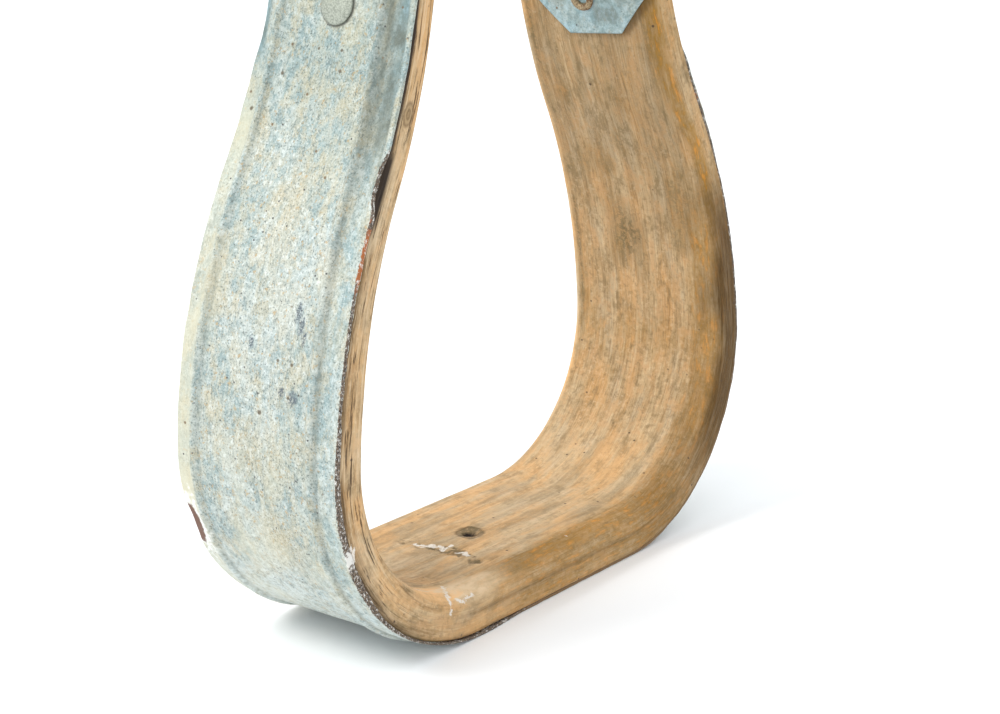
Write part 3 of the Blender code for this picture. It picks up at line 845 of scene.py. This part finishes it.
def seam_shadow(s, y, depth):
    """Painted shadow in the open seam behind the band's front lip near the left neck, and in the bare
    notch below it.
    """
    on_side = ramp(3.4, 2.6, y + half_width(s)) * (y < 0)
    seam = ramp(2.1, 1.6, depth) * ramp(-158, -166, s)
    notch = ramp(3.2, 2.3, depth) * between(NOTCH_TOP, NOTCH_TOP + 4, -157, -151, s)
    return 0.95 * on_side * np.maximum(seam, notch)


def tab_shadow(s, y):
    """Painted shadow on the wood round the end of the band's tab on the right leg."""
    half = TAB_HALF_WIDTH - np.clip(TAB_END + TAB_CORNER - s, 0.0, TAB_CORNER)
    beside = ramp(1.9, 0.2, np.abs(y - TAB_SHIFT[1]) - half)
    return beside * ramp(TAB_END - 0.9, TAB_END - 0.1, s)


# Threads of lint caught on the wood: (distance, y unrolled over the front edge) in millimetres.
LINT = (
    ((-36.5, -15.6), (-39.5, -18.6), (-41.0, -21.6), (-40.6, -24.4), (-41.8, -27.0)),
    ((-37.6, -22.4), (-35.8, -23.4), (-34.0, -22.6), (-30.4, -22.0)),
    ((-18.4, 3.9), (-16.2, 3.2), (-15.2, 0.6), (-16.0, -0.8), (-13.2, -0.9)),
    ((-17.8, 6.4), (-17.4, 4.4)),
    ((-15.2, -4.2), (-14.6, -6.0), (-15.6, -7.4)),
    ((7.0, -18.7), (7.8, -18.7)),
    ((-87.5, -30.4), (-86.0, -29.2), (-84.2, -29.9), (-83.4, -31.0)),
    ((-85.6, -28.6), (-82.6, -30.2)),
)
LINT_HALF_WIDTH = 0.52


def lint_marks(s, y, depth):
    """1 along the threads, which have wool on them in places."""
    around = y - thickness(s) + depth
    woolly = 0.75 * layered_noise(s / 0.9, around / 0.9, 45)
    reach = np.minimum.reduce([line_reach(line, s, around) for line in LINT])
    return ramp(1.7, 0.5, reach / LINT_HALF_WIDTH + woolly)


WOOD_STEP = 1.2
TREAD_STEP = 0.55


def wood_bow(look):
    fine = ((-34, WOOD_STEP), (14, TREAD_STEP))
    s = spaced(((-FOLD_START, None), *fine, (FOLD_START, WOOD_STEP)))[:, None]
    y, depth, out_y, out_depth = wood_section(s)
    facing = np.clip(out_depth, 0.0, 1.0)
    relief = wood_relief(s, y, depth, facing)
    bumpy = (s, y + out_y * relief, depth + out_depth * relief)
    points = strap_points(*bumpy)
    attributes = {
        "place": stacked(*bumpy),
        "side": np.clip(np.abs(out_y) * 1.3 - 0.3, 0, 1) * (1 - 0.85 * ramp(-85, -45, s)),
        "scar": np.maximum(0.9 * tear(s, y), 0.75 * ramp(0.0, 0.12, nail_pit(s, y))) * facing,
        # Painted shade in the hole round the nail, and painted shadow in the seam and notch.
        "hole_and_seam_shade": ramp(0.0, 0.5, nail_hole(s, y)) * facing + seam_shadow(s, y, depth),
        "lint": lint_marks(s, y, depth),
        **wood_marks(s, y, depth, facing),
    }
    left, right = end_cap_rings(points[0], -1), end_cap_rings(points[-1], 1)
    full = np.concatenate([left[::-1], points, right])
    padded = {key: extended(values, len(left)) for key, values in attributes.items()}
    return grid_solid("bentwood_bow", full, padded, look)


def extended(values, caps):
    """The values with the first and last ring repeated for the rounded ends."""
    return np.concatenate([values[:1]] * caps + [values] + [values[-1:]] * caps)


def end_cap_rings(ring, side):
    """The rounded top end of one leg's wood, from its last ring."""
    middle = (WOOD_DEPTH + NECK_THICKNESS) / 2
    radius = (NECK_THICKNESS - WOOD_DEPTH) / 2
    centre_x = side * (NECK_FACE_X - middle)
    rings = []
    for angle in (18, 36, 54, 68, 80):
        turn = math.radians(angle)
        lifted = ring.copy()
        lifted[:, 0] = centre_x + (ring[:, 0] - centre_x) * math.cos(turn)
        lifted[:, 2] = ring[:, 2] + radius * math.sin(turn)
        rings.append(lifted)
    return np.array(rings)


# ---- the galvanized band

FRONT_BEAD_INSET = 6.9
NECK_BEAD_INSET = 8.0
BACK_BEAD_INSET = 4.3
BEAD_HALF_WIDTH = 1.5
BEAD_HEIGHT = 0.85
LIP_THICKNESS = 0.5
EDGE_ROUND = 0.12
BAND_STEP = 1.15
FOLD_STEPS = 24


def lip_reach(s):
    """How deep the band's front edge reaches down the wood's side: a rusted flange on the left leg."""
    flange = between(NOTCH_TOP, -160, -76, -54, s)
    deep = 0.6 + 0.5 * between(-108, -92, -76, -62, s)
    ragged = 0.25 * layered_noise(s / 4, s * 0 + 0.5, 71)
    return SHEET + 0.05 + flange * (deep + ragged)


def bead(offset):
    """1 on the bead's crest and 0 beyond its foot."""
    share = np.clip(np.abs(offset) / BEAD_HALF_WIDTH, 0.0, 1.0)
    return 0.5 + 0.5 * np.cos(math.pi * share)


def on_bow(far):
    """1 where the band has beads: from the end of the sole's flat up to the neck, in millimetres."""
    return between(26, 42, 212, 226, far)


def front_inset(far):
    """How far the front bead lies from the edge: more near the neck."""
    return FRONT_BEAD_INSET + (NECK_BEAD_INSET - FRONT_BEAD_INSET) * ramp(110, 190, far)


def band_relief(s, y, width):
    """How far the sheet's outer face stands proud, for y from -width to width."""
    far = np.abs(s)
    wander = 0.35 * smooth_noise(s / 28, s * 0 + 3.5, 81)
    front = bead(y + width - front_inset(far) - wander) * (1 + 0.5 * ramp(120, 170, far))
    back = bead(y - (width - BACK_BEAD_INSET + wander))
    on = on_bow(far)
    rolled = 0.35 * ramp(135, 165, far) * ramp(1.6, 0.5, y + width) * on
    strength = 0.8 + 0.25 * smooth_noise(s / 18, y * 0 + 7.5, 82)
    rise = BEAD_HEIGHT * on * strength * (front + back) + rolled
    rim = 0.22 * on * ramp(BACK_BEAD_INSET, BACK_BEAD_INSET - BEAD_HALF_WIDTH, width - y)
    dents = 0.16 * layered_noise(s / 17, y / 12, 83) * ramp(20, 40, far)
    small = 0.035 * layered_noise(s / 3.6, y / 3.0, 85, 2)
    bent = -0.6 * ramp(184, 190, far) * ramp(3.2, 0.4, width - y) * on
    total = rise + rim + dents + small + bent
    return np.minimum(total, np.where(far < 60, 0.8 * outline(s)[1], total))


def band_edges(s):
    """Where the sheet's front and back edges are: nicked, with a jog near each neck."""
    width = half_width(s)
    nicks = 0.10 * layered_noise(s / 4.5, s * 0 + 1.5, 91)
    front = width + LIP_OVERHANG * ramp(-14, -30, s) - 0.7 * ramp(-24, -10, s) + nicks
    front = front - 0.95 * bell(s - NOTCH_AT, 5, 4) - 0.55 * ramp(173, 179, s)
    back = width + 0.05 + 0.10 * layered_noise(s / 5.5, s * 0 + 2.5, 93)
    back = back - 0.3 * ramp(-182, -187, s) - 0.8 * bell(s - CHIP_AT, 5, 4)
    return front, back


FRONT_SHARES = np.linspace(0.0, 0.28, 30)
MIDDLE_SHARES = np.linspace(0.28, 0.82, 30)
OUTER_SHARES = np.concatenate([FRONT_SHARES[:-1], MIDDLE_SHARES[:-1], np.linspace(0.82, 1.0, 20)])
UNDER_STEPS = 16


def band_section(s, front, back, lip, flatness=0.0):
    """Round the sheet, for a column of distances: y and depth. flatness 1 leaves out the relief."""
    width = half_width(s)
    share = OUTER_SHARES[None, :]
    y = -front + (front + back) * share
    rise = band_relief(s, y, width) * (1 - flatness)
    rounded_corner = EDGE_ROUND * ((share == 0.0) | (share == 1.0))
    under_y = sweep(back, LIP_THICKNESS - front, UNDER_STEPS)
    under_rise = band_relief(s, under_y, width) * (1 - flatness)
    down = np.array([[0.25, 0.5, 0.75, 1.0]])
    tip = lip - EDGE_ROUND
    stretches = (
        (y, rounded_corner - rise),
        (back, SHEET - EDGE_ROUND),
        (under_y, SHEET - np.maximum(under_rise, 0.0)),
        (LIP_THICKNESS - front, SHEET + (lip - SHEET) * down),
        (EDGE_ROUND - front, lip),
        (-front, tip + (EDGE_ROUND - tip) * down[:, :-1]),
    )
    return joined(stretches, s)


def band_rings(side):
    """One half of the band, from the middle of the sole over the leg's top to the end of its tab."""
    outer = spaced(((0.0, None), (FOLD_START, BAND_STEP)))[:, None] * side
    front, back = band_edges(outer)
    section = band_section(outer, front, back, lip_reach(outer))
    points = [strap_points(outer, *section)]
    place = [stacked(outer, *section)]
    teal = [tone_near_neck(outer, section[0])]

    for step in range(1, FOLD_STEPS + 1):
        share = ramp(0, 1, step / FOLD_STEPS)
        turn = math.pi * step / FOLD_STEPS
        ring_y, ring_depth = fold_section(side, share)
        radius = FOLD_RADIUS - ring_depth
        x = side * (NECK_FACE_X - FOLD_RADIUS + radius * math.cos(turn))
        z = TOP_HEIGHT - FOLD_RADIUS + radius * math.sin(turn)
        points.append(stacked(x, ring_y, z))
        place.append(stacked(side * (FOLD_START + FOLD_RADIUS * turn), ring_y, ring_depth))
        teal.append(0.4 + 0.3 * share + ring_y * 0)

    near_end = ((TAB_END, None), (TAB_END + 0.3, 0.15), (TAB_END + TAB_CORNER, 0.7))
    tab = spaced((*near_end, (FOLD_START, 1.2)))[::-1][1:, None] * side
    ring_y, ring_depth = fold_section(side, 1.0)
    cut = np.clip(TAB_END + TAB_CORNER - np.abs(tab), 0.0, TAB_CORNER - 0.02)
    narrow = (TAB_HALF_WIDTH - cut) / TAB_HALF_WIDTH
    ring_y = (ring_y - TAB_SHIFT[side]) * narrow + TAB_SHIFT[side]
    wave = 0.06 * layered_noise(tab / 9, ring_y / 8, 95)
    depth = thickness(tab) + SEAT + SHEET + np.abs(wave) - ring_depth
    skew = TAB_SKEW * (ring_y - TAB_SHIFT[side]) * ramp(TAB_END + 20, TAB_END, np.abs(tab))
    points.append(strap_points(tab - side * skew, ring_y, depth))
    length = side * (2 * FOLD_START + math.pi * FOLD_RADIUS) - tab
    place.append(stacked(length, ring_y, ring_depth))
    teal.append(0.62 + 0.28 * layered_noise(tab / 5, ring_y / 4, 97))
    return np.concatenate(points), np.concatenate(place), np.concatenate(teal)


def fold_section(side, share):
    """The sheet's section over the leg's top, narrowing from the neck's width to the tab's."""
    top = np.array([[FOLD_START * side]])
    front, back = band_edges(top)
    full_y, full_depth = band_section(top, front, back, lip_reach(top), 1.0)
    flat_y = full_y * TAB_HALF_WIDTH / full_y.max() + TAB_SHIFT[side]
    return full_y + (flat_y - full_y) * share, full_depth


def tone_near_neck(s, y):
    """The teal tint of the lips, stronger near the neck."""
    width = half_width(s)
    near_front = ramp(5.5, 3.0, y + width)
    neck = ramp(150, 195, np.abs(s))
    back_lip = ramp(2.5, 1.0, width - y) * ramp(182, 188, np.abs(s))
    uneven = 0.8 + 0.4 * layered_noise(s / 9, y / 3, 98)
    rim = ramp(0.5, 1.3, y + width)
    return np.clip((near_front * rim * (0.22 + 0.48 * neck) + 0.9 * back_lip) * uneven, 0, 1)


def bead_feet(s, y, width):
    """Painted shade in the hollows: in front of the front bead, on the field's side of the back one and
    where the back edge bends in near the neck, with the front lip darker near the neck.
    """
    far = np.abs(s)
    off_bead = y + width - front_inset(far)
    front = bell(off_bead + 1.5, 0.8)
    neck_shadow = bell(off_bead + 2.2, 1.8) * ramp(140, 180, far)
    back = bell(width - y - BACK_BEAD_INSET - 1.5, 0.8)
    on = between(30, 50, 212, 226, far)
    bent_in = ramp(2.6, 1.2, width - y) * ramp(182, 188, far)
    uneven = layered_noise(s / 3.5, y / 2.0, 107)
    lip = ramp(0.4, 1.1, y + width) * ramp(4.5, 3.5, y + width) * ramp(150, 180, far)
    lip = lip * (0.66 + 0.35 * uneven)
    front = np.maximum(0.62 * front, neck_shadow + lip)
    return (front + 0.36 * back + (0.75 + 0.4 * uneven) * bent_in) * on


def tab_end_shade_and_stains(s, y):
    """On the tab: painted shade along its end, and stains toward its corners and up towards the fold."""
    up = 2 * FOLD_START + math.pi * FOLD_RADIUS - TAB_END - np.abs(s)
    on = ramp(45.0, 40.0, up)
    stains = ramp(0.0, 0.9, layered_noise(up / 4, y / 4, 105) + 0.12 * (up - 5))
    return on * np.maximum(0.9 * ramp(0.25, 0.05, up), 0.6 * stains)


def band_marks(place):
    """The painted shade in the hollows with the tab's stains, the cream, the painted light from below, the
    painted shade near the necks, and where the front edge is rusted, with painted shadow along the floor
    under the sole.
    """
    s, y, depth = (place[..., i] for i in range(3))
    width = half_width(s)
    bow = ramp(240, 225, np.abs(s))
    back = ramp(4.6, 3.6, width - y) * ramp(186, 178, np.abs(s))
    low = between(-98, -80, -66, -52, s)
    blotch = layered_noise(s / 9, y / 7, 99)
    cream = 0.55 * back * (0.85 + 0.4 * blotch) + 0.30 * low * ramp(-0.2, 0.8, blotch)
    cream = cream + 0.20 * ramp(0.2, 0.9, layered_noise(s / 22, y / 8, 101))
    flange = between(NOTCH_TOP, NOTCH_TOP + 4, -30, -12, s)
    edge = between(NOTCH_TOP, NOTCH_TOP + 6, -160, -156, s) + between(-108, -92, -55, -30, s)
    reach_in = 0.42 + 0.45 * np.clip(edge, 0, 1)
    from_edge = band_edges(s)[0] + y
    side = ramp(reach_in, 0.0, from_edge)
    side = np.maximum(0.65 * side * (np.abs(y) > 5), side * ramp(0.02, 0.1, depth))
    # The dark front edge of the sheet: rust round the sole's left corner, and partly painted shadow along
    # the floor further along the sole.
    edge_rust_and_shade = ramp(1.6, 0.6, from_edge - ramp(-40, -20, s)) * between(-50, -38, 60, 120, s)
    edge_rust_and_shade = highest(edge_rust_and_shade, ramp(0.10, 0.25, depth) * ramp(-14, -4, s) * (y < 0)) * bow
    thin = 0.35 * between(-155, -148, -116, -104, s)
    rust = np.maximum(side * flange * (1 - thin), edge_rust_and_shade)
    # Painted shade in the hollows on the bow; on the tab, painted shade along its end and its stains.
    shade_and_tab_stains = np.maximum(bead_feet(s, y, width) * bow, tab_end_shade_and_stains(s, y) * (1 - bow))
    shade = ramp(150, 190, np.abs(s)) * bow
    return {
        "cream": np.clip(cream, 0, 1) * bow,
        "rust": np.clip(rust, 0, 1),
        "shade_and_tab_stains": np.clip(shade_and_tab_stains, 0, 1),
        "shade": shade * (0.85 + 0.3 * blotch),
        # Painted light from below on the lower part of the band.
        "light_from_below": 0.5 * between(-86, -66, -34, -20, s),
    }


def galvanized_band(look):
    right = band_rings(1)
    left = band_rings(-1)
    points, place, teal = (np.concatenate([l[1:][::-1], r]) for l, r in zip(left, right))
    attributes = {"place": place, "teal": np.clip(teal, 0, 1), **band_marks(place)}
    return grid_solid("galvanized_binding", points, attributes, look, sharp=40)


# ---- rivets, nail, bolt, nut and roller

def arc(centre, radius, start, end, steps):
    """(radius, height) points along an arc, by angle in degrees from +radius towards +height."""
    turns = np.radians(np.linspace(start, end, steps))
    return [(centre[0] + radius[0] * math.cos(t), centre[1] + radius[1] * math.sin(t)) for t in turns]


def uneven(radius, height, amount, size, seed):
    """The radii with dents of this depth and size."""
    rows = np.asarray(height, float)[:, None] / size
    ring_x = NOISE_CELLS / 4 + radius * np.cos(ANGLES) / size + rows
    ring_y = NOISE_CELLS / 4 + radius * np.sin(ANGLES) / size - rows
    return radius + amount * layered_noise(ring_x, ring_y, seed, 2)


def turned(name, profile, look, place, dents, ring=False):
    """A turned solid from its (radius, height) profile, with dents of a depth, size and seed."""
    radii, heights = zip(*profile)
    radius = np.maximum(uneven(column(radii), heights, *dents), 0.02)
    return turned_solid(name, radius, heights, look, place, ring)


def rivet(name, s, look, seed):
    """A tubular rivet: its domed head outside the leg, and its rolled end round a bore on the tab."""
    at = np.array([s])
    x, z, _ = outline(at)
    into_x, into_z = inward(at)
    outward = Vector((-into_x[0], 0.0, -into_z[0]))
    seat = -(float(thickness(at)[0]) + 2 * SEAT + SHEET + 0.05)
    head, crown, rim = 4.2, 1.15, 0.35
    shank, bore, roll = 2.2, 1.35, 0.9
    profile = [(0.05, crown)]
    profile += arc((0.0, rim), (head, crown - rim), 86, 4, 12)
    profile += [(head, rim * 0.6), (head - 0.15, 0.02), (shank, 0.02), (shank, seat)]
    profile += [(bore + 1.8 * roll, seat)]
    profile += arc((bore + roll, seat), (roll, -1.1), 15, 165, 12)
    profile += [(bore, seat + 0.3), (bore, -3.2), (0.05, -2.6)]
    return turned(name, profile, look, axis_place((x[0], 0.0, z[0]), outward), (0.07, 2.5, seed))


def sole_nail(look):
    """A cut nail up through the sole, its point broken off short in the pit in the tread."""
    low, high = (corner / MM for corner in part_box("sole_nail"))
    x, y = (low.x + high.x) / 2, (low.y + high.y) / 2
    top = TREAD_THICKNESS - NAIL_PIT_DEPTH + 0.15
    profile = [
        (0.05, 0.05),
        (2.7, 0.05),
        (2.9, 0.25),
        (1.2, 1.5),
        (1.1, 5.0),
        (1.05, top - 0.35),
        (0.95, top - 0.12),
        (0.70, top),
        (0.05, top + 0.03),
    ]
    place = Matrix.Translation(Vector((x, y, 0.0)) * MM)
    return turned("broken_nail", profile, look, place, (0.08, 1.2, 120))


BOLT_RADIUS = 3.95
THREAD_PITCH = 1.41
THREAD_DEPTH = 0.55
THREAD_LENGTH = 22
SLOT_WIDTH = 1.35
SLOT_DEPTH = 1.6
SLOT_TURN = math.radians(24)


def cross_bolt(look):
    """A round-headed bolt, slotted, with a cut thread at its far end."""
    low, high = (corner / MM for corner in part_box("cross_bolt"))
    seat = NECK_FACE_X + 0.02
    crown, head = -low.x, (high.y - low.y) / 2
    end = -high.x
    rim = seat + 0.28 * (crown - seat)
    profile = [(0.05, crown)]
    profile += arc((0.0, rim), (head, crown - rim), 88, 4, 26)
    profile += [(head, rim - 0.4), (head - 0.2, seat), (BOLT_RADIUS, seat)]
    plain = list(np.arange(seat - 2, end + THREAD_LENGTH, -3))
    cut = list(np.arange(end + THREAD_LENGTH, end + 0.9, -THREAD_PITCH / 8))
    profile += [(BOLT_RADIUS, height) for height in plain + cut]
    profile += [(BOLT_RADIUS - 0.5, end + 0.35), (BOLT_RADIUS - 0.9, end), (0.05, end)]
    radii, heights = zip(*profile)
    heights = np.array(heights)
    radius = column(radii)
    phase = (heights[:, None] / THREAD_PITCH + ANGLES / (2 * math.pi)) % 1.0
    groove = THREAD_DEPTH * (1 - np.abs(2 * phase - 1))
    threaded = ramp(end + THREAD_LENGTH, end + THREAD_LENGTH - 2, heights)[:, None]
    on_shank = (radius > 0.9 * BOLT_RADIUS) & (radius < 1.1 * BOLT_RADIUS)
    radius = radius - groove * threaded * on_shank
    made = turned_solid("slotted_bolt", radius, heights, look, Matrix.Identity(4), sharp=35)
    cut_slot(made, crown, head)
    made.data.transform(axis_place((0.0, 0.0, BOLT_HEIGHT), (-1.0, 0.0, 0.0)))
    return made


def cut_slot(bolt, crown, head):
    """Cuts the screwdriver slot across the head, at a slight angle."""
    bpy.ops.mesh.primitive_cube_add(size=1.0, location=(0.0, 0.0, crown * MM))
    cutter = bpy.context.object
    cutter.scale = Vector((SLOT_WIDTH, 3 * head, 2 * SLOT_DEPTH)) * MM
    cutter.rotation_euler = (0.0, 0.0, SLOT_TURN)
    bpy.context.view_layer.update()
    modifier = bolt.modifiers.new("slot", "BOOLEAN")
    modifier.operation = "DIFFERENCE"
    modifier.object = cutter
    bpy.context.view_layer.objects.active = bolt
    bpy.ops.object.modifier_apply(modifier="slot")
    bpy.data.objects.remove(cutter, do_unlink=True)


def nut_washer(look):
    low = NECK_FACE_X + 0.03
    high = low + 1.5
    outer, bore = 9.5, 4.2
    profile = [(bore, low), (outer - 0.25, low), (outer, low + 0.3)]
    profile += [(outer - 0.02, high - 0.4), (outer - 0.35, high)]
    profile += [(bore + 0.25, high), (bore, high - 0.25)]
    return turned("flat_washer", profile, look, ON_BOLT, (0.05, 3.0, 130), ring=True)


def square_radius(across, angle):
    """The radius of a square with rounded corners, at each angle."""
    half = across / 2
    power = 14
    reach = np.abs(np.cos(angle)) ** power + np.abs(np.sin(angle)) ** power
    return half / reach ** (1 / power)


def bolt_nut(look):
    """A square nut whose corners are chamfered on its outer face."""
    low, high = (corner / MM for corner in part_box("bolt_nut"))
    across = high.y - low.y
    start, end = NECK_FACE_X + 1.58, high.x
    square = square_radius(across, ANGLES)
    bore = BOLT_RADIUS + 0.1 + ANGLES * 0
    domed = np.minimum(square, 0.535 * across)
    rows = [
        (bore, start),
        (square * 0.97, start),
        (square, start + 0.3),
        (square, (start + end) / 2),
        (square, end - 1.5),
        (np.minimum(square, 0.60 * across), end - 0.7),
        (domed, end - 0.15),
        (domed * 0.97, end),
        (bore + 0.7, end),
        (bore, end - 0.7),
    ]
    radius = np.array([row for row, _ in rows])
    heights = np.array([height for _, height in rows])
    worn = uneven(radius, heights, 0.06, 3.5, 140)
    return turned_solid("square_nut", worn, heights, look, ON_BOLT, ring=True, sharp=30)


def roller(look):
    """A turned roller, a little waisted, with lathe rings and worn shoulders."""
    low, high = (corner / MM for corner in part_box("roller"))
    half, radius = (high.x - low.x) / 2, (high.z - low.z) / 2
    bore = BOLT_RADIUS + 0.3
    edge = 1.2
    span = np.linspace(-1, 1, 150)
    waist = radius - 0.55 * (1 - span**2) - 0.06
    for at in (-0.86, -0.80, 0.80, 0.86):
        waist = waist - 0.22 * bell(span - at, 0.010)
    profile = [(bore + 0.3, -half), (radius - edge, -half)]
    profile += arc((radius - edge, -half + edge), (edge * 0.95, edge), -75, -10, 6)
    profile += list(zip(waist, (half - edge) * span))
    profile += arc((radius - edge, half - edge), (edge * 0.95, edge), 10, 75, 6)
    profile += [(radius - edge, half), (bore + 0.3, half), (bore, half - 0.4)]
    profile += [(bore, -half + 0.4)]
    radii, heights = zip(*profile)
    full = column(radii)
    dents = uneven(full, heights, 0.05, 5.0, 150)
    full = np.where(full > bore + 1, np.minimum(dents, radius), full)
    return turned_solid("turned_roller", full, heights, look, ON_BOLT, ring=True)


# ---- assembly


def stand_in(piece, node, body):
    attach(piece, body)
    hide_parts(node)


# The steels: their colour, the dark in it and the rust, then how rusted they are, from 0 to 1.
STEELS = {
    "bolt_steel": ((0.34, 0.33, 0.32), (0.17, 0.16, 0.155), (0.30, 0.13, 0.05), 0.35),
    "pale_rivet": ((0.43, 0.46, 0.39), (0.25, 0.27, 0.23), (0.36, 0.30, 0.19), 0.35),
    "brown_rivet": ((0.42, 0.33, 0.20), (0.20, 0.145, 0.085), (0.26, 0.13, 0.06), 0.6),
    "nail_rust": ((0.045, 0.03, 0.024), (0.02, 0.014, 0.012), (0.07, 0.03, 0.015), 0.6),
    "nut_steel": ((0.30, 0.29, 0.28), (0.15, 0.14, 0.135), (0.30, 0.13, 0.05), 0.5),
    "washer_steel": ((0.42, 0.43, 0.43), (0.24, 0.24, 0.24), (0.30, 0.14, 0.06), 0.3),
}


def build():
    steel = {name: steel_material(name, *tones) for name, tones in STEELS.items()}
    stand_in(wood_bow(wood_material()), "wood_bow", "bow")
    stand_in(galvanized_band(zinc_material()), "galvanized_band", "bow")
    left = rivet("left_leg_rivet", LEFT_RIVET_AT, steel["pale_rivet"], 110)
    stand_in(left, "left_rivet", "bow")
    right = rivet("right_leg_rivet", RIGHT_RIVET_AT, steel["brown_rivet"], 115)
    stand_in(right, "right_rivet", "bow")
    stand_in(sole_nail(steel["nail_rust"]), "sole_nail", "bow")
    stand_in(cross_bolt(steel["bolt_steel"]), "cross_bolt", "bow")
    stand_in(nut_washer(steel["washer_steel"]), "nut_washer", "bow")
    stand_in(bolt_nut(steel["nut_steel"]), "bolt_nut", "bow")
    stand_in(roller(roller_material()), "roller", "roller")


add_camera()
add_studio()
build()
